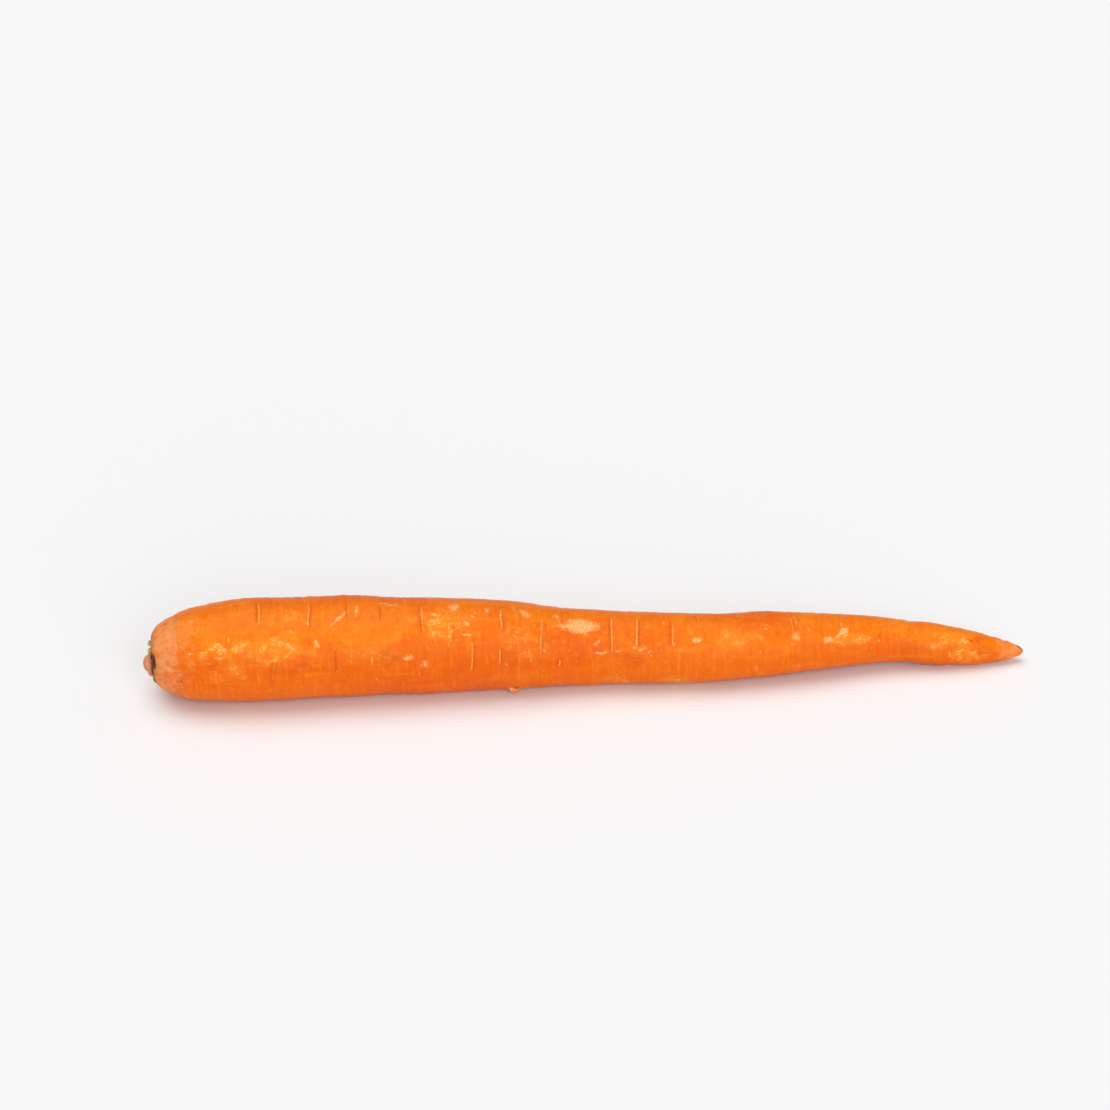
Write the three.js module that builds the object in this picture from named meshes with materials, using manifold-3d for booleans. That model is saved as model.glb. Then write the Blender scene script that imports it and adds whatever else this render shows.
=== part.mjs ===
// A carrot, as it is sold with its leaves cut off. The taproot is one grown piece, and the dry
// stubs of the leaf stalks are still seated in its crown. It lies on its side on a surface at z = 0,
// with the crown towards -X and the tail towards +X. Sizes are in millimetres, and +Z is up.

import * as THREE from 'three';
import { mergeVertices } from 'three/addons/utils/BufferGeometryUtils.js';
import Module from 'manifold-3d';

const { clamp, degToRad, lerp, radToDeg } = THREE.MathUtils;

// Driving dimensions of the root. Every place along it is counted from the face of the crown.
const ROOT_LENGTH = 228.7;
const CROWN_RADIUS = 7.4;
const GREATEST_RADIUS = 13.15;
const SHOULDER_LENGTH = 34;
const RIM_ROUNDING = 1.3;
const RIM_LENGTH = 0.8;
const TAIL_CAP = 1.5;
const GROWTH_SEED = 7;

// Thickness past the shoulder: [mm along the root, radius]. The root steps down near 100 mm,
// tapers evenly to 150 mm and keeps a thin, almost parallel neck before its tail.
const THICKNESS = [
  [34, 13.15], [50, 12.88], [70, 12.38], [91, 11.62], [104, 10.45], [118, 9.75], [144, 9.05],
  [160, 8.5], [175, 7.35], [195, 5.6], [207, 5.25], [216, 4.2], [223, 2.8], [226.5, 1.65],
  [228.7, 1.05],
];

// Middle line of the root: [mm along the root, sideways, height]. The thick half lies flat, and the
// thin half bends a little and stands clear of the surface, down to the end of the tail.
const MIDDLE_LINE = [
  [-3, -1.3, 11.4], [0, -0.9, 11.65], [20, -0.2, 12.25], [38, 0, 12.35], [65, 0.1, 11.7],
  [91, 0, 10.8], [118, -0.3, 8.95], [145, -1.6, 8.45], [160, -1.1, 8.5], [175, -0.1, 8.1],
  [191, 0.8, 7.1], [207, 0, 5.4], [216, -0.5, 4.2], [223, -0.7, 3.3], [228.7, -1.0, 2.9],
];

// The crown is a shallow dish: [mm along the root, radius] from its middle out to its rim.
const CROWN_DISH = [[1.7, 2.2], [1.6, 4.3], [0.9, 5.0], [0.25, 5.4], [-0.05, 5.8], [0.1, 6.3]];
const DISH_FLOOR = 1.7;

// Angles around the root start at its near side (-Y) and go up over the top to the far side.
// Side roots break through in two pairs of rows, on opposite sides of the root.
const SIDE_ROOT_ROWS = [10, 70, 190, 250];
const FAR_ROWS = SIDE_ROOT_ROWS.slice(2);

// Scars of side roots on the near side: [mm along the root, angle, length across it].
const NEAR_SCARS = [
  [28, 82, 7.5], [31.2, 6, 5.4], [40.4, 74, 7.4], [46.6, 16, 5.8], [50.6, 80, 5.1], [59, 76, 4.8],
  [69.4, 69, 9.8], [76.8, 48, 4], [82, 16, 7.7], [89.4, 63, 4.4], [89.2, 18, 4.5], [99.6, 46, 8.8],
  [104.6, 8, 2.2], [118.4, 55, 10], [125.2, 58, 8.3], [134.6, 58, 7.2], [141.4, 92, 2.7],
  [165.6, 71, 4.8], [166.8, 79, 3], [189.4, 41, 2.4],
];
const SCAR_DEPTH = 0.34;
const SCAR_HALF_WIDTH = 0.75;
const SCAR_REACH = 1.3;

// Scars on the far side, in each of its two rows: where they start, how far apart they are, how much
// of that spacing is left to chance, how far each row spreads and wanders, and their length as a
// share of the radius.
const FAR_SCAR_START = 24;
const FAR_SCAR_SPACING = 23;
const FAR_SCAR_CHANCE = 0.8;
const FAR_ROW_SPREAD = [0, 55];
const FAR_ROW_WANDER = 16;
const FAR_SCAR_LENGTH = [0.35, 0.85];
const BARE_ENDS = 40;

// Creases that run right round: [mm along the root, depth, half width].
const CREASES = [
  [6, 0.12, 1.0], [14, 0.12, 1.3], [99, 0.16, 1.6], [155, 0.14, 1.4], [198.5, 0.24, 1.2],
  [210.5, 0.2, 1.2], [219, 0.16, 0.9],
];

// Slow lumps in the skin: [height, lumps around the root, turns along its length, phase].
const LUMPS = [
  [0.17, 2, 1.3, 0.4], [0.13, 3, -1.9, 2.1], [0.11, 1, 6.5, 1.0], [0.08, 2, -10.5, 4.0],
  [0.05, 4, 8.2, 5.2], [0.05, 0, 15.3, 2.6],
];

// Thin side roots that broke off short: the one that shows below, as [mm along the root, angle,
// length, lean towards the tail], and the rule for the others, left along a row on the far side.
const NEAR_ROOTLET = [92.6, -48, 1.6, 2];
const ROOTLET_COUNT = 8;
const ROOTLET_PLACES = [35, 222];
const ROOTLET_WANDER = 60;
const ROOTLET_RADIUS = 0.55;
const ROOTLET_LENGTH = [0.6, 1.3];
const ROOTLET_SUNK = 0.9;
const ROOTLET_LEAN = 0.5;

// How finely the skin is divided.
const SIDES = 36;
const STATION_SPACING = 4;
const LEAST_STATION_GAP = 0.5;

// Leaf-stalk stubs, in the crown's own frame: z points out of the root, 0 is the crown's face.
const SEAT_GAP = 0.3;
const SEAT_RADIUS = 4.7;
const SEAT_BEVEL = 0.9;
const SEAT_TOP = -0.35;
const OUTER_STALKS = { count: 8, ring: 3.9, thickness: 1.0, halfAngle: 25, height: 1.2, lean: 0.35 };
const INNER_STALKS = { count: 5, ring: 2.5, thickness: 1.2, halfAngle: 32, height: 1.6, lean: 0.1 };
const STALK_SIDES = 14;
const STALK_RINGS = 5;
const STALK_SUNK = 0.35;
const STALK_CROWN = 0.12;
const SHORTEST_STALK = 0.35;
const HEART_SUNK = 0.6;

// The stubs in front broke off lowest: the angle round the crown where they are lowest, the spread
// of the dip and the share of their height that is gone there.
const LOW_STALKS = { angle: 23, spread: 30, share: 0.85 };

// The heart's two knobs: place as [near, up], radius and height.
const HEART_KNOBS = [
  { place: [1.0, -1.1], radius: 2.45, height: 2.7 },
  { place: [1.9, -3.0], radius: 1.5, height: 1.4 },
];

const SKIN_COLOUR = 0xf27a1c;
const STALK_COLOUR = 0xa9754c;

const wasm = await Module();
wasm.setup();

/** A repeatable draw from 0 to 1 for the kth item of one kind. */
function draw(k, kind) {
  const mixed = Math.sin((k + 1) * 12.9898 + (kind + GROWTH_SEED) * 78.233) * 43758.5453;
  return mixed - Math.floor(mixed);
}

/** Reads a table of rows [place, value, ...] as one smooth curve through its points. */
function smoothTable(rows) {
  const places = rows.map((row) => row[0]);
  const values = rows.flatMap((row) => row.slice(1));
  return new THREE.CubicInterpolant(places, values, rows[0].length - 1);
}

/** The shortest way from one angle to another, in degrees. */
function angleBetween(from, to) {
  return THREE.MathUtils.euclideanModulo(to - from + 180, 360) - 180;
}

const thicknessCurve = smoothTable(THICKNESS);
const middleCurve = smoothTable(MIDDLE_LINE);

/** Radius of the plain root: a rounded shoulder, the long taper, and a round end to the tail. */
function plainRadius(along) {
  const toShoulderEnd = clamp(1 - along / SHOULDER_LENGTH, 0, 1);
  const rim = RIM_ROUNDING * Math.exp(-along / RIM_LENGTH);
  const shoulder = lerp(GREATEST_RADIUS, CROWN_RADIUS, toShoulderEnd ** 4) - rim;
  const body = along < SHOULDER_LENGTH ? shoulder : thicknessCurve.evaluate(along)[0];
  const intoCap = clamp((along - ROOT_LENGTH + TAIL_CAP) / TAIL_CAP, 0, 1);
  return body * Math.sqrt(1 - intoCap ** 2);
}

/** A point on the middle line. */
function middlePoint(along) {
  const [sideways, height] = middleCurve.evaluate(along);
  return new THREE.Vector3(along, sideways, height);
}

/** The middle line's direction at a place, and the near and upward directions square to it. */
function frameAt(along) {
  const step = 0.25;
  const tangent = middlePoint(along + step).sub(middlePoint(along - step)).normalize();
  const near = new THREE.Vector3().crossVectors(tangent, new THREE.Vector3(0, 0, 1)).normalize();
  const up = new THREE.Vector3().crossVectors(near, tangent);
  return { tangent, near, up };
}

/** Scars on the far side, spread along the two rows there by the growth rule. */
function farScars() {
  const perRow = Math.floor((ROOT_LENGTH - BARE_ENDS) / FAR_SCAR_SPACING);
  return FAR_ROWS.flatMap((row, i) => Array.from({ length: perRow }, (_, k) => {
    const along = FAR_SCAR_START + (k + FAR_SCAR_CHANCE * draw(k, row)) * FAR_SCAR_SPACING;
    const spread = FAR_ROW_SPREAD[i] * draw(k, row + 1);
    const wander = FAR_ROW_WANDER * draw(k, row + 2);
    const length = lerp(...FAR_SCAR_LENGTH, draw(k, row + 3)) * plainRadius(along);
    return [along, row - spread + wander, length];
  }));
}

const scars = [...NEAR_SCARS, ...farScars()];

/** Depth of the scars at a place: narrow grooves along the root, fading at both of their ends. */
function scarDepth(along, angle, radius) {
  let depth = 0;
  for (const [place, middle, length] of scars) {
    const offset = (along - place) / SCAR_HALF_WIDTH;
    const across = (2 * radius * degToRad(angleBetween(middle, angle))) / length;
    if (Math.abs(offset) < 2 && Math.abs(across) < SCAR_REACH) {
      const fading = 1 - (across / SCAR_REACH) ** 4;
      depth = Math.max(depth, SCAR_DEPTH * Math.exp(-(offset ** 2)) * fading);
    }
  }
  return depth;
}

/** Depth of the creases, which are deeper on one side of the root than on the other. */
function creaseDepth(along, angle) {
  return CREASES.reduce((depth, [place, deepest, halfWidth], k) => {
    const share = 0.65 + 0.35 * Math.cos(degToRad(angle) - 2.4 * k);
    return depth + deepest * share * Math.exp(-(((along - place) / halfWidth) ** 2));
  }, 0);
}

/** Height of the slow lumps, as the sum of a few waves that wind round the root. */
function lumpHeight(along, angle) {
  return LUMPS.reduce((height, [size, around, turns, phase]) => {
    const windsAlong = (2 * Math.PI * turns * along) / ROOT_LENGTH;
    return height + size * Math.cos(around * degToRad(angle) + windsAlong + phase);
  }, 0);
}

/** The skin's point at a place along the root and an angle round it. It is pressed flat at z = 0. */
function skinPoint(along, angle, radius, frame) {
  const relief = (radius / GREATEST_RADIUS) * lumpHeight(along, angle) - creaseDepth(along, angle)
    - scarDepth(along, angle, radius);
  const reach = radius + relief * clamp(radius / 3, 0, 1);
  const turn = degToRad(angle);
  const point = middlePoint(along)
    .addScaledVector(frame.near, reach * Math.cos(turn))
    .addScaledVector(frame.up, reach * Math.sin(turn));
  point.z = Math.max(point.z, 0);
  return point;
}

/** Places of the rings: evenly spaced, closer at both ends, with three across each scar and crease. */
function stationPlaces() {
  const places = [0.5, 1.1, 2, 3, ROOT_LENGTH - 0.8, ROOT_LENGTH - 0.12];
  for (let along = STATION_SPACING; along < ROOT_LENGTH - TAIL_CAP; along += STATION_SPACING) {
    places.push(along);
  }
  for (const [place] of [...scars, ...CREASES]) {
    places.push(place - SCAR_HALF_WIDTH, place, place + SCAR_HALF_WIDTH);
  }
  places.sort((a, b) => a - b);
  return places.filter((place, i) => i === 0 || place - places[i - 1] > LEAST_STATION_GAP);
}

/**
 * A closed skin over rings of points that all have as many points, with a tip at both ends. The
 * rings run counter-clockwise as seen from the last tip.
 */
function closedSkin(firstTip, rings, lastTip) {
  const sides = rings[0].length;
  const points = [firstTip, ...rings.flat(), lastTip];
  const indices = [];
  for (let j = 0; j < sides; j += 1) {
    const next = (j + 1) % sides;
    indices.push(0, 1 + next, 1 + j);
    for (let i = 0; i < rings.length - 1; i += 1) {
      const here = 1 + i * sides;
      const beyond = here + sides;
      indices.push(here + j, here + next, beyond + next, here + j, beyond + next, beyond + j);
    }
    const lastRing = 1 + (rings.length - 1) * sides;
    indices.push(points.length - 1, lastRing + j, lastRing + next);
  }
  const geometry = new THREE.BufferGeometry().setFromPoints(points);
  geometry.setIndex(indices);
  return geometry;
}

/** Turns a closed three.js geometry into a solid that can be joined. */
function toSolid(geometry) {
  const bare = geometry.clone();
  bare.deleteAttribute('normal');
  bare.deleteAttribute('uv');
  const merged = mergeVertices(bare, 1e-4);
  return new wasm.Manifold(new wasm.Mesh({
    numProp: 3,
    vertProperties: new Float32Array(merged.attributes.position.array),
    triVerts: new Uint32Array(merged.index.array),
  }));
}

/** Joins several closed geometries into one. */
function join(geometries) {
  const mesh = geometries.map(toSolid).reduce((whole, piece) => whole.add(piece)).getMesh();
  const geometry = new THREE.BufferGeometry();
  geometry.setAttribute('position', new THREE.BufferAttribute(mesh.vertProperties, 3));
  geometry.setIndex(new THREE.BufferAttribute(mesh.triVerts, 1));
  geometry.computeVertexNormals();
  return geometry;
}

/** The root's skin, from the middle of the crown's dish over the shoulder to the end of the tail. */
function rootSkin() {
  const angles = Array.from({ length: SIDES }, (_, j) => -(360 * j) / SIDES);
  const stations = [...CROWN_DISH, ...stationPlaces().map((along) => [along, plainRadius(along)])];
  const rings = stations.map(([along, radius]) => {
    const frame = frameAt(along);
    return angles.map((angle) => skinPoint(along, angle, radius, frame));
  });
  return closedSkin(middlePoint(DISH_FLOOR), rings, middlePoint(ROOT_LENGTH));
}

/** One broken side root: a blunt six-sided cone that starts inside the skin and leans to the tail. */
function rootletStub(along, angle, length, lean) {
  const outline = [[0, 0], [ROOTLET_RADIUS, 0], [0.75 * ROOTLET_RADIUS, 0.9], [0, 1]];
  const profile = outline.map(([r, part]) => new THREE.Vector2(r, part * (length + ROOTLET_SUNK)));
  const frame = frameAt(along);
  const turn = degToRad(angle);
  const outward = new THREE.Vector3()
    .addScaledVector(frame.near, Math.cos(turn))
    .addScaledVector(frame.up, Math.sin(turn));
  const direction = outward.clone().addScaledVector(frame.tangent, lean).normalize();
  const start = middlePoint(along).addScaledVector(outward, plainRadius(along) - ROOTLET_SUNK);
  const turned = new THREE.Quaternion().setFromUnitVectors(new THREE.Vector3(0, 1, 0), direction);
  return new THREE.LatheGeometry(profile, 6)
    .applyQuaternion(turned)
    .translate(start.x, start.y, start.z);
}

/** Broken side roots: the near one, then those of the far row, with places and lengths drawn. */
function rootletStubs() {
  const stubs = [rootletStub(...NEAR_ROOTLET)];
  for (let k = 1; k < ROOTLET_COUNT; k += 1) {
    const along = lerp(...ROOTLET_PLACES, (k + draw(k, 1)) / (ROOTLET_COUNT + 1));
    const angle = FAR_ROWS[0] + ROOTLET_WANDER * (draw(k, 2) - 0.5);
    stubs.push(rootletStub(along, angle, lerp(...ROOTLET_LENGTH, draw(k, 3)), ROOTLET_LEAN));
  }
  return stubs;
}

/** The base of one leaf stalk: a bent ellipse drawn up from the seat, thinner and closed on top. */
function stalkBase({ ring, thickness, halfAngle, lean }, turn, height) {
  const rings = [];
  for (let i = 0; i < STALK_RINGS; i += 1) {
    const part = i / (STALK_RINGS - 1);
    const narrowing = Math.sqrt(1 - 0.8 * part ** 3);
    const z = lerp(SEAT_TOP - STALK_SUNK, height, part);
    rings.push(Array.from({ length: STALK_SIDES }, (_, j) => {
      const phase = (-2 * Math.PI * j) / STALK_SIDES;
      const around = turn + degToRad(halfAngle) * narrowing * Math.cos(phase);
      const out = ring + lean * part + 0.5 * thickness * narrowing * Math.sin(phase);
      return new THREE.Vector3(out * Math.cos(around), out * Math.sin(around), z);
    }));
  }
  const direction = new THREE.Vector3(Math.cos(turn), Math.sin(turn), 0);
  const foot = direction.clone().multiplyScalar(ring).setZ(SEAT_TOP - STALK_SUNK);
  const tip = direction.clone().multiplyScalar(ring + lean).setZ(height + STALK_CROWN);
  return closedSkin(foot, rings, tip);
}

/** A ring of leaf-stalk bases, cut and broken at different heights. */
function stalkRing(stalks, kind) {
  return Array.from({ length: stalks.count }, (_, k) => {
    const turn = 2 * Math.PI * ((k + 0.35 * draw(k, kind)) / stalks.count);
    const fromLowest = angleBetween(LOW_STALKS.angle, radToDeg(turn)) / LOW_STALKS.spread;
    const left = 1 - LOW_STALKS.share * Math.exp(-(fromLowest ** 2));
    const height = stalks.height * lerp(SHORTEST_STALK, 1, draw(k, kind + 1)) * left;
    return stalkBase(stalks, turn, height);
  });
}

/** One knob of the crown's heart, which stands out furthest: a quarter ellipse turned round. */
function heartKnob({ place, radius, height }) {
  const dome = new THREE.EllipseCurve(0, 0, radius, height, 0, Math.PI / 2).getPoints(7);
  dome[dome.length - 1].x = 0;
  const foot = [new THREE.Vector2(0, -HEART_SUNK), new THREE.Vector2(radius, -HEART_SUNK)];
  return new THREE.LatheGeometry([...foot, ...dome], 20)
    .rotateX(Math.PI / 2)
    .translate(...place, 0);
}

/** The thin seat that holds all the stalk bases together, just clear of the dish's floor. */
function stalkSeat() {
  const bottom = -DISH_FLOOR + SEAT_GAP;
  const foot = SEAT_RADIUS - SEAT_BEVEL;
  const outline = [[0, bottom], [foot, bottom], [SEAT_RADIUS, SEAT_TOP], [0, SEAT_TOP]];
  const profile = outline.map(([r, z]) => new THREE.Vector2(r, z));
  return new THREE.LatheGeometry(profile, 28).rotateX(Math.PI / 2);
}

function makeTaproot() {
  const material = new THREE.MeshStandardMaterial({ color: SKIN_COLOUR, roughness: 0.42, metalness: 0 });
  const taproot = new THREE.Mesh(join([rootSkin(), ...rootletStubs()]), material);
  taproot.name = 'taproot';
  return taproot;
}

function makeLeafStalkStubs() {
  const material = new THREE.MeshStandardMaterial({ color: STALK_COLOUR, roughness: 0.85, metalness: 0 });
  const stalks = [...stalkRing(OUTER_STALKS, 20), ...stalkRing(INNER_STALKS, 30)];
  const solids = [stalkSeat(), ...HEART_KNOBS.map(heartKnob), ...stalks];
  const stubs = new THREE.Mesh(join(solids), material);
  stubs.name = 'leaf_stalk_stubs';
  const { tangent, near, up } = frameAt(0);
  stubs.quaternion.setFromRotationMatrix(new THREE.Matrix4().makeBasis(near, up, tangent.negate()));
  stubs.position.copy(middlePoint(0));
  return stubs;
}

const carrot = new THREE.Group();
carrot.name = 'carrot';
carrot.add(makeTaproot(), makeLeafStalkStubs());

// The middle of the carrot's outline on the surface is the origin.
carrot.updateMatrixWorld(true);
const middle = new THREE.Box3().setFromObject(carrot, true).getCenter(new THREE.Vector3());
carrot.position.set(-middle.x, -middle.y, 0);

export default carrot;
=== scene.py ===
# %% [markdown]
# A carrot, finished in Blender
#
# This lesson dresses one carrot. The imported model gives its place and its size, and the cells
# below give what the eye wants besides: a skin with its scars, scuffs and wrinkles, the dry stubs
# of the leaf stalks in the crown, and the thin roots that are left after washing. Every shape is a
# formula that numpy works out as whole arrays, so each one can be changed in a line or two.

import bpy
import numpy as np
from mathutils import Matrix, Vector


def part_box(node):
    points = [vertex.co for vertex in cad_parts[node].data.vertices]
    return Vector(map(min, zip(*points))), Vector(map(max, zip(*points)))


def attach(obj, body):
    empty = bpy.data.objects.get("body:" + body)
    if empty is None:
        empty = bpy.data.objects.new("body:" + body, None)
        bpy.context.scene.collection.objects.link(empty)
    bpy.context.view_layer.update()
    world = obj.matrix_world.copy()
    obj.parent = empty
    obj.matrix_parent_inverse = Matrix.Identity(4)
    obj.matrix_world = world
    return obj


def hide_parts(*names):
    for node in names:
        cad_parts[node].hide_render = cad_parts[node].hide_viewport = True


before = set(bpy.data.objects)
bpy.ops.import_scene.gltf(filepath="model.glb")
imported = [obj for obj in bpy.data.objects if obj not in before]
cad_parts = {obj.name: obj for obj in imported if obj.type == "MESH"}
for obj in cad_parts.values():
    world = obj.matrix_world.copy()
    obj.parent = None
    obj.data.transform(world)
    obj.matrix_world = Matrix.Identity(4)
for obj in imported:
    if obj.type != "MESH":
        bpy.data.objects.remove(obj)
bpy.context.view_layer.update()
MM = 0.001

# %% [markdown]
# The camera looks down at the carrot from its near side, as in the photograph, and a little from
# the crown's end, so the tail is further away. The root's middle has to land on the pixel where the
# photograph has it. That could be done by trying places for the camera, but one sum is enough: the
# pixel's offset from the picture's middle, over the focal length in pixels, gives the sideways
# offset at the carrot's distance.

# %% Camera
PHOTO_SIDE = 1110
CARROT_PIXEL = (588.8, 641.0)
ELEVATION = 32.0
TURN = 4.0
DISTANCE = 0.6861
LOOK_HEIGHT = 0.42  # of the root's own height
LENS_MM = 85.0
SENSOR_MM = 36.0


def camera_axes(elevation, turn):
    """The camera's right, up and backward directions. Backward points from the carrot to it."""
    high, side = np.radians([elevation, turn])
    backward = np.array([-np.sin(side) * np.cos(high), -np.cos(side) * np.cos(high), np.sin(high)])
    right = np.cross([0.0, 0.0, 1.0], backward)
    right /= np.linalg.norm(right)
    return right, np.cross(backward, right), backward


right, above, backward = camera_axes(ELEVATION, TURN)
root_middle = np.array([0.0, 0.0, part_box("taproot")[1].z * LOOK_HEIGHT])
focal_pixels = LENS_MM / SENSOR_MM * PHOTO_SIDE
offset = (np.array(CARROT_PIXEL) - PHOTO_SIDE / 2) * DISTANCE / focal_pixels
camera_place = root_middle - right * offset[0] + above * offset[1] + backward * DISTANCE

camera = bpy.data.objects.new("camera", bpy.data.cameras.new("camera"))
camera.data.lens = LENS_MM
camera.data.sensor_width = SENSOR_MM
camera.data.clip_start = 0.01
axes = np.column_stack([right, above, backward])
camera.matrix_world = Matrix.Translation(camera_place) @ Matrix(axes.tolist()).to_4x4()
bpy.context.scene.collection.objects.link(camera)
bpy.context.scene.camera = camera
print("camera at", np.round(camera_place, 3))

# %% [markdown]
# A finish is a board of nodes, and so is the world's light. One small class adds nodes and feeds
# their inputs, so the cells below read as lists of steps. Values that vary over the surface run
# through nodes, and values that don't are set on the shader itself.

# %% A board of nodes
class Board:
    """A tree of nodes, with short ways to add to it."""

    def __init__(self, tree):
        self.tree = tree

    def feed(self, socket, value):
        """Links the value to the socket if it is a socket too, or else sets it."""
        if isinstance(value, bpy.types.NodeSocket):
            self.tree.links.new(value, socket)
        elif socket.type == "RGBA" and len(value) == 3:
            socket.default_value = (*value, 1.0)
        else:
            socket.default_value = value

    def node(self, kind, inputs=None, **settings):
        """Adds a node. Each input is named, or numbered where several share a name."""
        made = self.tree.nodes.new(kind)
        for name, value in settings.items():
            setattr(made, name, value)
        for name, value in (inputs or {}).items():
            self.feed(made.inputs[name], value)
        return made

    def mask(self, name):
        """The mask of that name, as a value."""
        return self.node("ShaderNodeAttribute", attribute_name=name).outputs["Fac"]

    def maths(self, operation, a, b=0.0, c=0.0):
        """One sum of sockets or numbers."""
        return self.node("ShaderNodeMath", {0: a, 1: b, 2: c}, operation=operation).outputs[0]

    def times(self, a, b):
        """The product of two sockets or numbers."""
        return self.maths("MULTIPLY", a, b)

    def between(self, value, low, high, least=0.0, most=1.0):
        """Goes smoothly from the least to the most while the value goes from low to high."""
        inputs = {"Value": value, "From Min": low, "From Max": high, "To Min": least, "To Max": most}
        return self.node("ShaderNodeMapRange", inputs, interpolation_type="SMOOTHSTEP").outputs["Result"]

    def warped(self, vector, scale, reach):
        """The place moved to and fro by noise, as far as reach in metres, to make shapes irregular."""
        wave = self.node("ShaderNodeTexNoise", {"Vector": vector, "Scale": scale, "Detail": 2.0})
        centred = self.node("ShaderNodeVectorMath", {0: wave.outputs["Color"], 1: (0.5, 0.5, 0.5)},
                            operation="SUBTRACT").outputs[0]
        return self.node("ShaderNodeVectorMath", {0: centred, 1: (2 * reach,) * 3, 2: vector},
                         operation="MULTIPLY_ADD").outputs[0]

    def noise(self, vector, scale, detail=3.0, roughness=0.55, distortion=0.0, stretch=None):
        """Noise with so many blobs to a metre. The stretch multiplies each part of the place."""
        if stretch:
            vector = self.node("ShaderNodeMapping", {"Vector": vector, "Scale": stretch}).outputs["Vector"]
        inputs = {"Vector": vector, "Scale": scale, "Detail": detail, "Roughness": roughness,
                  "Distortion": distortion}
        return self.node("ShaderNodeTexNoise", inputs).outputs["Fac"]

    def flecks(self, vector, scale, share, size):
        """Small spots, one in each Voronoi cell that is drawn. Share is the part of cells with a
        spot, and size is its radius in cells."""
        cells = self.node("ShaderNodeTexVoronoi", {"Vector": vector, "Scale": scale})
        drawn = self.node("ShaderNodeSeparateColor", {"Color": cells.outputs["Color"]}).outputs["Red"]
        spot = self.between(cells.outputs["Distance"], size, 0.4 * size)
        return self.times(spot, self.between(drawn, share, share - 0.05))

    def bumps(self, height, strength, distance):
        """The normal of a relief, with its greatest height as a distance in metres."""
        inputs = {"Height": height, "Strength": strength, "Distance": distance}
        return self.node("ShaderNodeBump", inputs).outputs["Normal"]

    def layers(self, color, rows):
        """The first colour, with each row's own colour laid on it in turn by share x strength."""
        for share, strength, over in rows:
            inputs = {0: self.times(share, strength), 6: color, 7: over}
            color = self.node("ShaderNodeMix", inputs, data_type="RGBA").outputs[2]
        return color

    def shade(self, inputs):
        """Feeds the inputs of the material's shader."""
        for name, value in inputs.items():
            self.feed(self.tree.nodes["Principled BSDF"].inputs[name], value)


def new_board(name):
    """A new material, its board, and the place on the piece that patterns start from."""
    material = bpy.data.materials.new(name)
    material.use_nodes = True
    board = Board(material.node_tree)
    return material, board, board.node("ShaderNodeTexCoord").outputs["Object"]


# %% [markdown]
# Small parts are photographed on white paper under large soft lamps. The paper here is one big
# pale sheet. One soft light from above gives the broad gloss along the top of the root, another
# from the front opens the shadow side, and the pale world lights everything a little. Both lights
# are suns as wide as a studio panel looks from the carrot. Panels would do as well, but they light
# the paper unevenly. Where the camera sees the world itself, past the edge of the paper, the Light
# Path node makes it as bright as the paper, so that no horizon shows.

# %% Paper, lamps and world
def add_soft_light(name, place, width, strength):
    """A light that shines from the place to the carrot. Its width is an angle, in degrees."""
    lamp = bpy.data.lights.new(name, "SUN")
    lamp.angle = np.radians(width)
    lamp.energy = strength
    light = bpy.data.objects.new(name, lamp)
    light.location = place
    light.rotation_euler = Vector(place).to_track_quat("Z", "Y").to_euler()
    bpy.context.scene.collection.objects.link(light)


PAPER_HALF = 6.0
PAPER_WHITE = 0.83
paper_mesh = bpy.data.meshes.new("paper")
corners = [(x * PAPER_HALF, y * PAPER_HALF, 0.0) for x, y in ((-1, -1), (1, -1), (1, 1), (-1, 1))]
paper_mesh.from_pydata(corners, [], [(0, 1, 2, 3)])
paper = bpy.data.objects.new("paper", paper_mesh)
paper_finish = bpy.data.materials.new("paper")
paper_finish.use_nodes = True
Board(paper_finish.node_tree).shade({"Base Color": (PAPER_WHITE,) * 3, "Roughness": 0.9})
paper_mesh.materials.append(paper_finish)
bpy.context.scene.collection.objects.link(paper)

add_soft_light("overhead_light", place=(-0.15, 0.1, 0.9), width=57.0, strength=1.7)
add_soft_light("front_light", place=(0.25, -0.9, 0.45), width=56.0, strength=1.7)

WORLD_LIGHT = 0.37
WORLD_SEEN = 0.925
world = bpy.data.worlds.new("studio")
world.use_nodes = True
sky = Board(world.node_tree)
seen = sky.node("ShaderNodeLightPath").outputs["Is Camera Ray"]
background = world.node_tree.nodes["Background"]
sky.feed(background.inputs["Color"], (1.0, 1.0, 1.0))
strength = sky.maths("MULTIPLY_ADD", seen, WORLD_SEEN - WORLD_LIGHT, WORLD_LIGHT)
sky.feed(background.inputs["Strength"], strength)
bpy.context.scene.world = world
bpy.context.scene.view_settings.view_transform = "Standard"

# %% [markdown]
# The root is a swept shape: a middle line, and a radius at every place along it. Both are smooth
# curves through a few measured points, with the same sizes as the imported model, in millimetres
# from the crown's face. The shoulder is a formula, because a fourth power rounds off just like it.

# %% The root's measures
ROOT_LENGTH = 228.7
CROWN_RADIUS = 7.4
GREATEST_RADIUS = 13.15
SHOULDER_LENGTH = 34.0
RIM_ROUNDING = 1.3
RIM_LENGTH = 0.8
TAIL_CAP = 1.5
DISH_FLOOR = 1.7
# The dish: [mm along the root, radius].
CROWN_DISH = [[1.7, 2.2], [1.6, 4.3], [0.9, 5.0], [0.25, 5.4], [-0.05, 5.8]]
# The same for the body.
THICKNESS = np.array([
    [34, 13.15], [50, 12.88], [70, 12.38], [91, 11.62], [104, 10.45], [118, 9.75], [144, 9.05],
    [160, 8.5], [175, 7.35], [195, 5.6], [207, 5.25], [216, 4.2], [223, 2.8], [226.5, 1.65],
    [228.7, 1.05],
])
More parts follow.
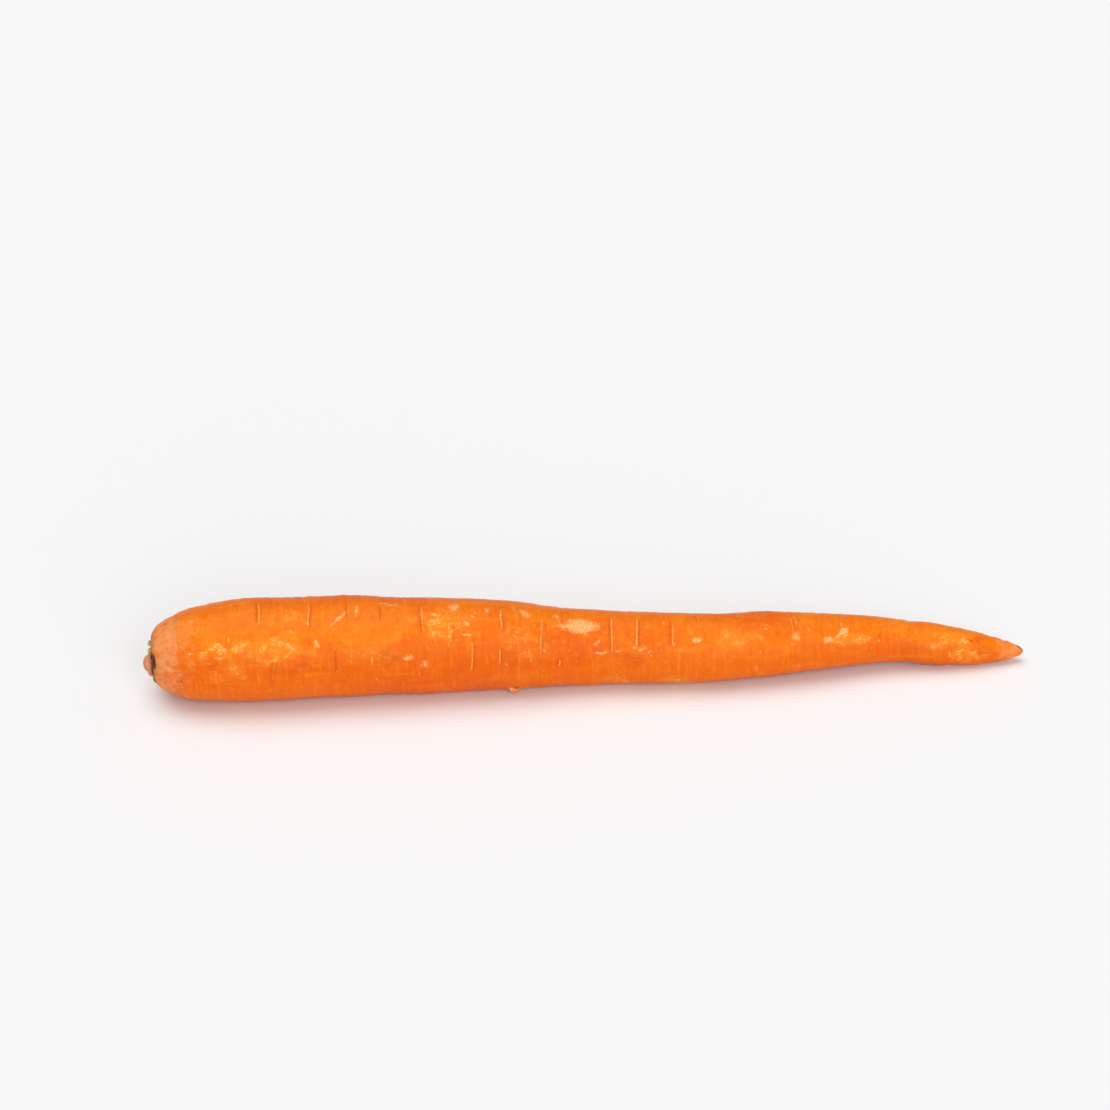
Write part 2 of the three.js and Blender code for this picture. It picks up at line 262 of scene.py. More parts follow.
# [mm along the root, mm sideways, height].
MIDDLE_LINE = np.array([
    [-3, -1.3, 11.4], [0, -0.9, 11.65], [20, -0.2, 12.25], [38, 0, 12.35], [65, 0.1, 11.7],
    [91, 0, 10.8], [118, -0.3, 8.95], [145, -1.6, 8.45], [160, -1.1, 8.5], [175, -0.1, 8.1],
    [191, 0.8, 7.1], [207, 0, 5.4], [216, -0.5, 4.2], [223, -0.7, 3.3], [228.7, -1.0, 2.9],
])


def smooth_curve(rows, at):
    """A cubic through the rows [place, value]. Its slope at a point is that between its
    neighbours, and at both ends it has no curvature."""
    place, value = rows[:, 0], rows[:, 1]
    step = np.diff(place)
    slope = np.empty_like(value)
    slope[1:-1] = (value[2:] - value[:-2]) / (place[2:] - place[:-2])
    slope[0] = 1.5 * (value[1] - value[0]) / step[0] - 0.5 * slope[1]
    slope[-1] = 1.5 * (value[-1] - value[-2]) / step[-1] - 0.5 * slope[-2]
    i = np.clip(np.searchsorted(place, at, side="right") - 1, 0, len(place) - 2)
    t = (at - place[i]) / step[i]
    rise = (3 - 2 * t) * t * t
    bend = step[i] * t * (1 - t) * ((1 - t) * slope[i] - t * slope[i + 1])
    return value[i] + rise * (value[i + 1] - value[i]) + bend


def plain_radius(along):
    """The shoulder's fourth power, less an exponential at the rim, then the thickness curve. A
    quarter circle closes the tail."""
    left = np.clip(1 - along / SHOULDER_LENGTH, 0, 1)
    shoulder = GREATEST_RADIUS + (CROWN_RADIUS - GREATEST_RADIUS) * left ** 4
    shoulder = shoulder - RIM_ROUNDING * np.exp(-along / RIM_LENGTH)
    body = np.where(along < SHOULDER_LENGTH, shoulder, smooth_curve(THICKNESS, along))
    into_cap = np.clip((along - ROOT_LENGTH + TAIL_CAP) / TAIL_CAP, 0, 1)
    return body * np.sqrt(1 - into_cap ** 2)


def middle_point(along):
    """The middle line's point: its own place along X, its sideways bend and its height."""
    bend = smooth_curve(MIDDLE_LINE[:, [0, 1]], along)
    height = smooth_curve(MIDDLE_LINE[:, [0, 2]], along)
    return np.stack([along, bend, height], axis=-1)


def unit(v):
    """The same directions with a length of 1."""
    return v / np.linalg.norm(v, axis=-1, keepdims=True)


def root_frame(along):
    """The line's direction, and the near and upward directions square to it."""
    tangent = unit(middle_point(along + 0.25) - middle_point(along - 0.25))
    near = unit(np.cross(tangent, [0.0, 0.0, 1.0]))
    return tangent, near, np.cross(near, tangent)


print("radius every 25 mm:", np.round(plain_radius(np.arange(0, 226, 25.0)), 1))

# %% [markdown]
# Side roots once grew out of the taproot in two pairs of rows. Where they came off, the skin has
# closed over in short grooves that run across the root. Those on the near side are listed one by one,
# where the photograph shows them, and those on the far side by the rule that placed them in the
# imported model. Angles start at the near side and go up over the top.

# %% Where the side roots came off
GROWTH_SEED = 7
SIDE_ROOT_ROWS = [10, 70, 190, 250]
# Each scar: [mm along the root, angle, length].
NEAR_SCARS = [
    [28, 82, 7.5], [31.2, 6, 5.4], [40.4, 74, 7.4], [46.6, 16, 5.8], [50.6, 80, 5.1], [59, 76, 4.8],
    [69.4, 69, 9.8], [76.8, 48, 4], [82, 16, 7.7], [89.4, 63, 4.4], [89.2, 18, 4.5], [99.6, 46, 8.8],
    [104.6, 8, 2.2], [118.4, 55, 10], [125.2, 58, 8.3], [134.6, 58, 7.2], [141.4, 92, 2.7],
    [165.6, 71, 4.8], [166.8, 79, 3], [189.4, 41, 2.4],
]
FAR_SCAR_START = 24
FAR_SCAR_MARGIN = 40
FAR_SCAR_SPACING = 23
FAR_SCAR_STRAY = 0.8
FAR_SCAR_LENGTH = (0.35, 0.5)
FAR_ROW_SPREAD = (0, 55)
FAR_ROW_WANDER = 16


def draw(k, kind):
    """A repeatable draw from 0 to 1: the fraction of a large sine."""
    mixed = np.sin((k + 1) * 12.9898 + (kind + GROWTH_SEED) * 78.233) * 43758.5453
    return mixed - np.floor(mixed)


def strewn(k, count, kind, start, reach):
    """Places along the root, one drawn in each even part of the reach."""
    return start + reach * (k + draw(k, kind)) / count


def far_scars():
    """Rows of [place, angle, length] for the two rows on the far side."""
    k = np.arange((ROOT_LENGTH - FAR_SCAR_MARGIN) // FAR_SCAR_SPACING)
    least, more = FAR_SCAR_LENGTH
    rows = []
    for row, spread in zip(SIDE_ROOT_ROWS[2:], FAR_ROW_SPREAD):
        along = FAR_SCAR_START + (k + FAR_SCAR_STRAY * draw(k, row)) * FAR_SCAR_SPACING
        angle = row - spread * draw(k, row + 1) + FAR_ROW_WANDER * draw(k, row + 2)
        length = (least + more * draw(k, row + 3)) * plain_radius(along)
        rows.append(np.stack([along, angle, length], axis=-1))
    return np.concatenate(rows)


scars = np.concatenate([NEAR_SCARS, far_scars()])
print(len(NEAR_SCARS), "scars on the near side and", len(scars) - len(NEAR_SCARS), "on the far side")

# %% [markdown]
# Grown skin is uneven at every size, so nearly every step below needs noise. It could come from a
# texture and a modifier, but noise as a function of the place in space serves for the relief, for
# the ragged edges of the stains and for the small pieces alike, and it has no seam round the root.

# %% Noise in space
def lattice_noise(points, size, kind):
    """Smooth noise from -1 to 1. The corners of a lattice of this size, in mm, get a repeatable
    draw each, and a point takes the blend of the eight corners round it."""
    cell, part = np.divmod(points / size, 1.0)
    part = part * part * (3 - 2 * part)
    total = np.zeros(points.shape[:-1])
    for corner in np.ndindex(2, 2, 2):
        mixed = np.sin((cell + corner) @ [12.9898, 78.233, 37.719] + 4.1414 * kind) * 43758.5453
        total += np.prod(np.where(corner, part, 1 - part), axis=-1) * (mixed - np.floor(mixed))
    return 2 * total - 1


def layered_noise(points, size, kind, layers=3):
    """Noise plus finer layers, each half the size and half the height of the one before."""
    return sum(lattice_noise(points, size / 2 ** i, kind + 0.37 * i) / 2 ** i for i in range(layers))


def bell(x, width):
    """A smooth bump: 1 in its middle, and about a third at a distance of one width."""
    return np.exp(-(x / width) ** 2)


print("noise at three places:", np.round(lattice_noise(np.eye(3) * 2.6, 1.0, 5), 2))

# %% [markdown]
# The root is a grid of rings along it and sides round it. Even rings would spend most of their
# points where nothing happens, so they crowd together at the crown, at the tail and across each
# scar. The rule for that is a density along the root. Adding it up and taking even steps of the sum
# gives the rings' places.

# %% Rings of the root
RING_COUNT = 600
DISH_RINGS = 26
SIDES = 158
# How much the rings crowd there: [extra density, mm to each side].
CROWN_CROWD = (2.5, 4)
TAIL_CROWD = (1.5, 5)
SCAR_CROWD = (2.4, 0.7)


def crowd(distance, extra, width):
    """The extra density at this distance from a place where the rings crowd."""
    return extra * bell(distance, width)


def ring_places():
    """Even steps of the summed density, from the crown's rim to just before the tail's tip."""
    fine = np.linspace(0.06, ROOT_LENGTH - 0.02, 20000)
    density = 1 + crowd(fine, *CROWN_CROWD) + crowd(fine - ROOT_LENGTH, *TAIL_CROWD)
    density += np.max([crowd(fine - place, *SCAR_CROWD) for place in scars[:, 0]], axis=0)
    total = np.cumsum(density)
    return np.interp(np.linspace(total[0], total[-1], RING_COUNT), total, fine)


def dish_rings(count):
    """Rings down the dish in the crown, from near its middle out to the rim."""
    dish = np.array([[DISH_FLOOR, 0.25], *CROWN_DISH, [0.05, plain_radius(0.05)]])
    step = np.concatenate([[0], np.cumsum(np.hypot(*np.diff(dish, axis=0).T))])
    at = np.linspace(0, step[-1], count + 1)[:-1]
    return np.interp(at, step, dish[:, 0]), np.interp(at, step, dish[:, 1])


def skin_points(along, turn, radius, relief):
    """Middle point + (radius + relief) x (cosine x near + sine x up), never below the surface."""
    tangent, near, up = root_frame(along[:, 0])
    direction = np.cos(turn)[..., None] * near[:, None] + np.sin(turn)[..., None] * up[:, None]
    reach = radius + relief * np.clip(radius / 3, 0, 1)
    points = middle_point(along[:, 0])[:, None] + reach[..., None] * direction
    points[..., 2] = np.maximum(points[..., 2], 0)
    return points


dish_along, dish_radius = dish_rings(DISH_RINGS)
body_along = ring_places()
along = np.concatenate([dish_along, body_along])[:, None]
radius = np.concatenate([dish_radius, plain_radius(body_along)])[:, None]
turn = -np.linspace(0, 2 * np.pi, SIDES, endpoint=False)[None, :]
plain = skin_points(along, turn, radius, 0 * radius)
print(along.size, "rings of", SIDES, "sides, the closest", round(np.diff(body_along).min(), 2), "mm apart")

# %% [markdown]
# A closed side-root scar is a thin pale line across the root, in a shallow groove, with a darker
# flank on one side. It wavers, fades at both ends and often ends in a small lump. Between the long
# ones are many short faint ones. All of them are bells of the distance from a line, worked out for
# every point of the grid at once, and the same numbers serve for the relief and for the colour.

# %% Scar marks
LINE_HALF_WIDTH = 0.23
GROOVE_HALF_WIDTH = 0.45
FLANK_OFFSET = 0.55
FAINT_MARKS = 150
# One share for each of the near scars.
NEAR_PALENESS = [
    0.65, 0.4, 0.65, 0.4, 0.5, 0.45, 0.5, 0.3, 0.6, 0.7, 0.75, 0.6, 0.75, 0.85, 0.85, 0.5, 0.5, 0.5,
    0.45, 0.35,
]


def around_from(turn, degrees):
    """How far an angle is from a stated one, in radians, the short way round."""
    return (turn - np.radians(degrees) + np.pi) % (2 * np.pi) - np.pi


def faint_marks():
    """Short faint marks in and beside the rows: [place, angle, length], with places drawn."""
    k = np.arange(FAINT_MARKS)
    place = strewn(k, FAINT_MARKS, 11, 6, 218)
    row = np.take(SIDE_ROOT_ROWS, (4 * draw(k, 12)).astype(int))
    length = (0.06 + 0.2 * draw(k, 14) ** 2) * plain_radius(place) + 0.5
    return np.stack([place, row + 60 * (draw(k, 13) - 0.5), length], axis=-1)


def line_marks(marks, paleness, half_width, wander):
    """Distance-to-line bells of many marks: the pale line, its groove, its flank and end lump."""
    line, dent, flank, lump = np.zeros((4, along.size, turn.size))
    waver = 0.09 * layered_noise(plain, 1.1, 50)
    for k, (place, angle, length) in enumerate(marks):
        rows = np.abs(along[:, 0] - place) < 3
        across = around_from(turn, angle) * radius[rows] / (0.5 * length)
        bent = wander * (np.sin(2.2 * across + 6.28 * draw(k, 41)) + 2 * (draw(k, 42) - 0.5) * across)
        offset = along[rows] - place - bent - waver[rows]
        fade = np.clip((1.15 - np.abs(across)) / 0.45, 0, 1) ** 0.7
        width = half_width * (0.6 + 0.4 * fade)
        side = 1.0 if draw(k, 43) > 0.4 else -1.0
        line[rows] = np.maximum(line[rows], paleness[k] * fade * bell(offset, width))
        groove_width = GROOVE_HALF_WIDTH / LINE_HALF_WIDTH * half_width
        dent[rows] = np.maximum(dent[rows], fade * bell(offset, groove_width))
        flank[rows] = np.maximum(flank[rows], fade * bell(offset - side * FLANK_OFFSET, 0.4))
        to_end = np.hypot(offset, (across - side) * 0.5 * length)
        lump[rows] = np.maximum(lump[rows], (draw(k, 44) > 0.4) * paleness[k] * bell(to_end, 0.5))
    return line, dent, flank, lump


paleness = np.concatenate([NEAR_PALENESS, 0.35 + 0.6 * draw(np.arange(len(scars)), 45)])
line, dent, flank, lump = line_marks(scars, paleness, LINE_HALF_WIDTH, 0.12)
faint = faint_marks()
faint_line, faint_dent, _, _ = line_marks(faint, 0.25 + 0.5 * draw(np.arange(len(faint)), 46), 0.2, 0.1)
line = np.maximum(line, faint_line)
print(len(faint), "faint marks beside", len(scars), "scars")

# %% [markdown]
# The relief is added to the radius. Slow lumps are a few waves that wind round the root, creases
# run right round, and wrinkles are noise that is drawn out round the root, because the root thickens
# faster than it lengthens. Small pits and grit roughen the crown and the tail more than the middle.
# Sculpting would do as well, but a formula can be changed in a line.

# %% Relief of the skin
# Each crease: [mm along the root, depth, half width].
CREASES = [
    [6, 0.12, 1.0], [14, 0.12, 1.3], [99, 0.16, 1.6], [155, 0.14, 1.4], [198.5, 0.24, 1.2],
    [210.5, 0.2, 1.2], [219, 0.16, 0.9],
]
# Each wave: [height, waves round the root, turns along it, phase].
LUMPS = [
    [0.17, 2, 1.3, 0.4], [0.13, 3, -1.9, 2.1], [0.11, 1, 6.5, 1.0], [0.08, 2, -10.5, 4.0],
    [0.05, 4, 8.2, 5.2], [0.05, 0, 15.3, 2.6],
]
SCAR_DEPTH = 0.26
FAINT_DEPTH = 0.07
FLANK_HEIGHT = 0.06
LUMP_HEIGHT = 0.16
WRINKLE_HEIGHT = 0.08
GRIT_HEIGHT = 0.035
PIT_DEPTH = 0.14
PIT_LEVEL = 0.62
SLIT = {"place": 0.35, "angle": 23, "half_length": 0.75, "half_width": 2.6, "depth": 0.8}


def lump_height(along, turn):
    """The sum of the waves, each a cosine of the angle and of the place along the root."""
    winds = 2 * np.pi * along / ROOT_LENGTH
    return sum(size * np.cos(n * turn + turns * winds + phase) for size, n, turns, phase in LUMPS)


def crease_depth(along, turn):
    """Bells across the root's length, deeper on one side of it than on the other."""
    return sum(deep * (0.65 + 0.35 * np.cos(turn - 2.4 * k)) * bell(along - place, half)
               for k, (place, deep, half) in enumerate(CREASES))


rough_ends = 1 + 1.2 * bell(along, 12) + 1.5 * bell(along - ROOT_LENGTH, 22)
wrinkles = layered_noise(plain * [1, 0.13, 0.13], 1.5, 60)
grit = layered_noise(plain, 1.0, 61, 2)
pits = np.clip(lattice_noise(plain, 1.3, 62) - PIT_LEVEL, 0, 1) / (1 - PIT_LEVEL)
slit = bell(along - SLIT["place"], SLIT["half_length"])
slit = slit * bell(around_from(turn, SLIT["angle"]) * radius, SLIT["half_width"])

relief = (radius / GREATEST_RADIUS) * lump_height(along, turn) - crease_depth(along, turn)
relief -= SCAR_DEPTH * dent + FAINT_DEPTH * faint_dent - FLANK_HEIGHT * flank - LUMP_HEIGHT * lump
relief += (WRINKLE_HEIGHT * wrinkles + GRIT_HEIGHT * grit - PIT_DEPTH * pits) * rough_ends
relief -= SLIT["depth"] * slit
points = skin_points(along, turn, radius, relief)
print("relief from", round(relief.min(), 2), "to", round(relief.max(), 2), "mm")

# %% [markdown]
# Now the meshes. Every new piece is made of closed skins over rings of points, with a fan round a
# tip at each end, so one function builds them all. Whole arrays go to Blender at once with
# foreach_set, which is much faster than adding the faces one by one.

# %% Closed meshes
def skin_faces(count, sides, start):
    """Corners of all faces over the rings, quads first, and how many corners each face has."""
    j = np.arange(sides)
    n = (j + 1) % sides
    here = start + 1 + sides * np.arange(count - 1)[:, None]
    quads = np.stack([here + j, here + n, here + sides + n, here + sides + j], axis=-1)
    end = start + 1 + sides * (count - 1)
    first = np.stack([np.full_like(j, start), start + 1 + n, start + 1 + j], axis=-1)
    last = np.stack([np.full_like(j, end + sides), end + j, end + n], axis=-1)
    corners = np.concatenate([quads.ravel(), first.ravel(), last.ravel()])
    return corners, np.concatenate([np.full(quads.size // 4, 4), np.full(2 * sides, 3)])


def closed_mesh(name, parts, scale=MM):
    """A mesh of closed parts, each (first tip, rings x sides x 3 points, last tip). The rings run
    counter-clockwise as seen from the last tip."""
    points, corners, sizes, start = [], [], [], 0
    for first_tip, rings, last_tip in parts:
        points += [[first_tip], rings.reshape(-1, 3), [last_tip]]
        part_corners, part_sizes = skin_faces(*rings.shape[:2], start)
        corners.append(part_corners)
        sizes.append(part_sizes)
        start += rings.shape[0] * rings.shape[1] + 2
    corners, sizes = np.concatenate(corners), np.concatenate(sizes)
    mesh = bpy.data.meshes.new(name)
    mesh.vertices.add(start)
    mesh.vertices.foreach_set("co", (np.concatenate(points) * scale).ravel())
    mesh.loops.add(len(corners))
    mesh.loops.foreach_set("vertex_index", corners)
    mesh.polygons.add(len(sizes))
    mesh.polygons.foreach_set("loop_start", np.concatenate([[0], np.cumsum(sizes)[:-1]]))
    mesh.polygons.foreach_set("loop_total", sizes)
    mesh.update(calc_edges=True)
    mesh.validate()
    return mesh


def coordinates(mesh):
    """All vertices of a mesh as an array, and all their normals."""
    place, normal = np.empty(3 * len(mesh.vertices)), np.empty(3 * len(mesh.vertices))
    mesh.vertices.foreach_get("co", place)
    mesh.vertex_normals.foreach_get("vector", normal)
    return place.reshape(-1, 3), normal.reshape(-1, 3)


def add_piece(name, mesh):
    """Puts a mesh in the scene as a smooth piece of the carrot."""
    mesh.shade_smooth()
    piece = bpy.data.objects.new(name, mesh)
    bpy.context.scene.collection.objects.link(piece)
    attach(piece, "root")
    return piece


def mask(mesh, name, values):
    """Stores one number for each vertex of a mesh."""
    layer = mesh.attributes.new(name, "FLOAT", "POINT")
    layer.data.foreach_set("value", np.asarray(values, np.float32).ravel())


def skin_mask(name, values):
    """Stores one number for each vertex of the root's skin. Both tips take their ring's first."""
    values = np.broadcast_to(values, (along.size, turn.size))
    mask(taproot.data, name, np.concatenate([[values[0, 0]], values.ravel(), [values[-1, 0]]]))


# %% [markdown]
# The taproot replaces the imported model's root. Both have the same middle line and thickness. The
# packed one has its origin under the middle of its box, so the new one is moved by what it takes to
# bring the end of its tail onto the other's.

# %% The taproot
cad_skin = coordinates(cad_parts["taproot"].data)[0] / MM
tail_tip = middle_point(np.array([ROOT_LENGTH]))[0]
to_frame = cad_skin[np.argmax(cad_skin[:, 0])] - tail_tip
crown_middle = middle_point(np.array([DISH_FLOOR]))[0]

skin_parts = [(crown_middle + to_frame, points + to_frame, tail_tip + to_frame)]
taproot = add_piece("taproot_skin", closed_mesh("taproot_skin", skin_parts))
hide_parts("taproot")
print("moved into the frame by", np.round(to_frame, 2), "mm")
print(len(taproot.data.polygons), "faces in the skin")

# %% [markdown]
# Colour follows the skin in the same way. Each mask is one number for each vertex: how much of a
# scar, a dry scuff, the crown or the tail is there. Painting a picture would work too, but it needs
# an image and a careful unwrapping. Patches are ellipses on the unrolled skin, and noise bends the
# skin's own coordinates before they are measured, so their edges come out ragged. One mask says how
# far the skin faces the near lower side, where painted shade makes it a deeper orange.

# %% Masks for the colour
# Pale dry scuffs: [mm along the root, angle, half length, half width, tilt in degrees, strength].
SCUFFS = [
    [110, 65, 4.6, 1.9, 2, 1.0], [105.8, 63, 2.6, 0.7, 6, 0.8], [114.6, 43, 0.34, 0.44, 0, 0.95],
    [113.8, 38, 0.55, 0.45, 0, 0.95], [115.6, 25, 2.2, 0.35, 4, 0.8], [120, 27, 1.1, 0.3, 10, 0.7],
    [124.6, 34, 0.5, 0.45, 30, 0.9], [126.2, 31, 0.65, 0.35, -20, 0.8], [128.4, 26, 0.35, 0.7, -20, 0.5],
    [134.6, 40, 0.6, 0.9, 0, 0.5], [139.4, 62, 0.45, 0.45, 0, 0.45], [140.8, 47, 1.3, 0.75, 0, 0.95],
    [158.4, 60, 0.42, 0.45, 0, 0.75], [166.2, 46, 1.2, 1.5, 0, 0.6], [164.8, 31, 0.65, 0.35, 0, 0.5],
    [174.8, 36, 1.5, 0.8, 0, 1.0], [178.6, 51, 2.2, 0.6, 42, 1.0], [42.2, 38, 0.45, 1.35, 25, 0.95],
    [40, 63, 0.35, 0.55, 0, 0.8], [48.4, 70, 3.8, 0.42, 46, 0.85], [52.6, 80, 0.35, 2.3, 0, 0.75],
    [59.8, 93, 1.4, 0.3, 5, 0.95], [61.4, 89, 2.4, 0.25, 6, 0.95], [69.4, 73, 0.35, 2.2, 0, 0.5],
    [72.6, 75, 0.95, 0.6, -10, 0.6], [77.8, 88, 1.4, 2.2, -30, 0.7], [74.6, 82, 0.8, 0.4, 20, 0.6],
    # The row at 80.6 mm and 60 degrees is partly a painted glint, laid as a pale scuff.
    [73.4, 64, 0.55, 0.6, 0, 0.6], [80.6, 60, 0.85, 0.55, -20, 1.0], [82, 71, 0.5, 0.4, -30, 0.9],
    [80.4, 46, 1.8, 0.28, -4, 0.75], [71.8, 36, 0.8, 0.2, -10, 0.5], [75.4, 35, 0.65, 0.22, 10, 0.5],
    [76.8, 48, 0.16, 1.9, -8, 0.5], [65.8, 19, 1.4, 0.8, 15, 0.8], [69.6, 11, 1.0, 1.0, 40, 0.6],
    [91.2, 8, 0.22, 0.8, 0, 0.8], [97.2, 15, 0.3, 0.8, 15, 0.6], [100, 46, 0.4, 4.0, 0, 0.45],
    [100.4, 27, 0.8, 0.6, 0, 0.6], [95.4, 79, 1.2, 2.2, 25, 0.55], [85.8, 80, 0.8, 1.3, 0, 0.5],
    [92.8, 88, 0.6, 1.2, 0, 0.5], [103.6, 79, 1.2, 1.2, 40, 0.5], [13.4, 34, 1.1, 0.4, 2, 0.9],
    [10.2, 34, 0.8, 0.35, 20, 0.8], [16, 38, 1.1, 0.4, 0, 0.8], [19, 35, 0.9, 0.7, 0, 0.5],
    [23.2, 31, 0.6, 0.6, 0, 0.5], [35.4, 36, 0.8, 0.7, 0, 0.55], [37.2, 32, 0.65, 0.22, 10, 0.6],
    [30.6, 34, 0.5, 0.3, 0, 0.5], [32.6, 41, 1.0, 0.25, 0, 0.4],
]
# Finely speckled, slightly yellow skin, partly painted sheen in a fine pale network: the same six
# measures.
SPECKLES_AND_SHEEN = [
    [19.4, 35, 7, 2.4, 0, 1.0], [33.8, 33, 9, 3.4, -2, 1.0], [15.8, 29, 8, 3.0, 0, 0.7],
    [37.6, 77, 2.2, 1.9, 0, 0.9], [74.7, 60, 8, 6, 0, 0.75], [180, 38, 9, 3, 5, 0.8],
    [20, 4, 9, 3, -5, 0.5], [124.2, 34, 8, 3, 4, 0.6], [148, 48, 12, 3, 0, 0.5], [211, 30, 9, 2.5, 0, 0.7],
    [93, 39, 6, 5, 0, 0.5], [55.2, 27, 8, 3, 0, 0.5], [209.8, 8, 1.7, 0.9, 10, 0.8],
]
# Redder, roughened skin.
CHAFED = [
    [15.6, 19, 1.4, 2.1, 0, 0.8], [9.4, 13, 1.2, 1.7, 10, 0.8], [61, 15, 3.4, 2.7, 0, 1.0],
    [98.6, 58, 1.2, 1.3, 0, 1.0], [40.8, 8, 5.1, 1.1, 0, 0.8], [35.6, 6, 6, 2, 0, 0.6],
    [123.8, 13, 2.9, 2.1, 0, 0.8], [207.6, 15, 1.5, 1.1, 0, 0.8], [211.4, 31, 2.9, 0.8, -4, 0.9],
    [216.6, 23, 2.0, 0.7, -5, 0.8], [216.4, 74, 2.4, 0.9, -10, 0.7], [100.6, 1, 3.0, 0.4, 0, 0.5],
    [80.5, 4, 9, 3, 0, 0.5], [165.7, 3, 8, 2, 0, 0.5], [198.8, 20, 8, 2, 0, 0.5],
]
# Small dark pits and scratches: the same again.
PITS = [
    [3.6, 90, 1.3, 0.2, 38, 1.0], [4.5, 93, 1.1, 0.2, 35, 0.9], [11.6, 63, 0.42, 0.42, 0, 1.0],
    [22.8, 80, 2.05, 0.16, 40, 0.9], [14.4, 94, 0.8, 0.2, -30, 0.7], [15.2, 82, 0.6, 0.2, 60, 0.6],
    [19, 94, 0.6, 0.18, 20, 0.6], [19.6, 46, 0.35, 0.25, 0, 0.7], [22.6, 8, 0.5, 0.35, 0, 0.5],
    [35.6, 9, 1.2, 0.15, 5, 0.7], [36.4, 9, 0.15, 0.9, 0, 0.7], [46.8, 4, 0.3, 0.3, 0, 1.0],
    [98.4, 58, 0.5, 0.35, 30, 0.7], [99.3, 59, 0.3, 0.4, 0, 0.6], [7, -3, 1.0, 0.3, 5, 0.9],
    [205, 50, 2.4, 0.2, 4, 0.6], [213.2, 58, 2, 0.25, -6, 0.7], [218.4, 17, 1.6, 0.25, 10, 0.7],
    [160.8, 19, 1.4, 0.2, 60, 0.5],
]
FAR_PATCHES = 16
CROWN_EDGE = 9.0
TAIL_EDGE = 221.0
WITHERED_EDGE = 226.3
WITHERED_ANGLE = 95
# The near lower side, painted darker as shade, faces this angle.
PAINTED_SHADE_ANGLE = -25


def far_patches(kind, size, flatness):
    """Patches like the near ones for the far side and the underside, with all measures drawn."""
    k = np.arange(FAR_PATCHES)
    place = strewn(k, FAR_PATCHES, kind, 10, 210)
    half = size * (0.35 + draw(k, kind + 2)) * plain_radius(place) / GREATEST_RADIUS
    shape = flatness * (0.4 + 0.8 * draw(k, kind + 3))
    tilt = 70 * (draw(k, kind + 4) - 0.5)
    strength = 0.4 + 0.5 * draw(k, kind + 5)
    return np.stack([place, 118 + 200 * draw(k, kind + 1), half, half * shape, tilt, strength], axis=-1)


def patches(near_rows, far_measures, sharpness, wander, size):
    """The strongest of strength x exp(-distance ^ sharpness) over all patches, the distance in half
    sizes of each ellipse. The skin's places are first moved by noise of this size, as far as wander."""
    found = np.zeros((along.size, turn.size))
    x = along + wander * layered_noise(plain, size, 71)
    y = turn + wander * layered_noise(plain, size, 72) / np.maximum(radius, 1)
    for row in (*near_rows, *far_patches(*far_measures)):
        place, angle, half_length, half_width, tilt, strength = row
        near = np.abs(along[:, 0] - place) < 2.5 * max(half_length, half_width) + wander
        dx, dy = x[near] - place, around_from(y[near], angle) * radius[near]
        c, s = np.cos(np.radians(tilt)), np.sin(np.radians(tilt))
        distance = np.hypot((c * dx + s * dy) / half_length, (c * dy - s * dx) / half_width)
        found[near] = np.maximum(found[near], strength * np.exp(-distance ** sharpness))
    return found


into_dish = np.concatenate([np.linspace(1, 0, len(dish_along)), np.zeros(len(body_along))])[:, None]
crown_edge = CROWN_EDGE + 3.5 * np.cos(turn - 1.2) + 3.0 * lattice_noise(plain, 4.0, 80)
crown = np.maximum(into_dish > 0, np.clip(1 - along / np.maximum(crown_edge, 1.5), 0, 1))
rim = np.maximum(bell(along - 0.2, 0.7 + 0.5 * lattice_noise(plain, 2.0, 81)), into_dish > 0)
tail_start = TAIL_EDGE + 3.0 * lattice_noise(plain, 3.0, 82) - 2.5 * np.sin(turn)
tail = np.clip((along - tail_start) / 6.0, 0, 1)
withered_top = bell(around_from(turn, WITHERED_ANGLE) * radius, 0.9 + 0.4 * lattice_noise(plain, 0.8, 83))
past_edge = along - WITHERED_EDGE - 0.8 * lattice_noise(plain, 0.8, 84)
withered = np.clip(past_edge / 0.8, 0, 1) * withered_top
withered = np.maximum(withered, 0.9 * np.clip((along - ROOT_LENGTH + 0.35) / 0.3, 0, 1))
masks = {
    # Painted shade: how far the skin faces the near lower side.
    "painted_under_shade": 0.5 + 0.5 * np.cos(turn - np.radians(PAINTED_SHADE_ANGLE)),
    "line": line,
    "lump": lump,
    "flank": flank,
    "scuff": patches(SCUFFS, (60, 3.5, 0.35), 2.2, 0.4, 1.3),
    "speckle_and_sheen": patches(SPECKLES_AND_SHEEN, (70, 12.0, 0.5), 2.0, 2.5, 4.0),
    "chafed": patches(CHAFED, (80, 9.0, 0.5), 2.0, 2.0, 3.0),
    "pit": np.maximum(patches(PITS, (90, 1.6, 0.2), 2.5, 0.3, 0.8), 0.6 * pits),
    "slit": slit,
    "crown": crown,
    "rim": rim,
    "dish": into_dish,
    "tail": tail,
    "withered": withered,
}
for name, values in masks.items():
    skin_mask(name, values)
print("masks on the skin:", ", ".join(masks))

# %% [markdown]
# Every stain ends raggedly, on the skin and on the dry stalks alike: noise is added to the mask's
# soft edge, and the sum is cut between two levels. Two materials need it, so it's a node group.

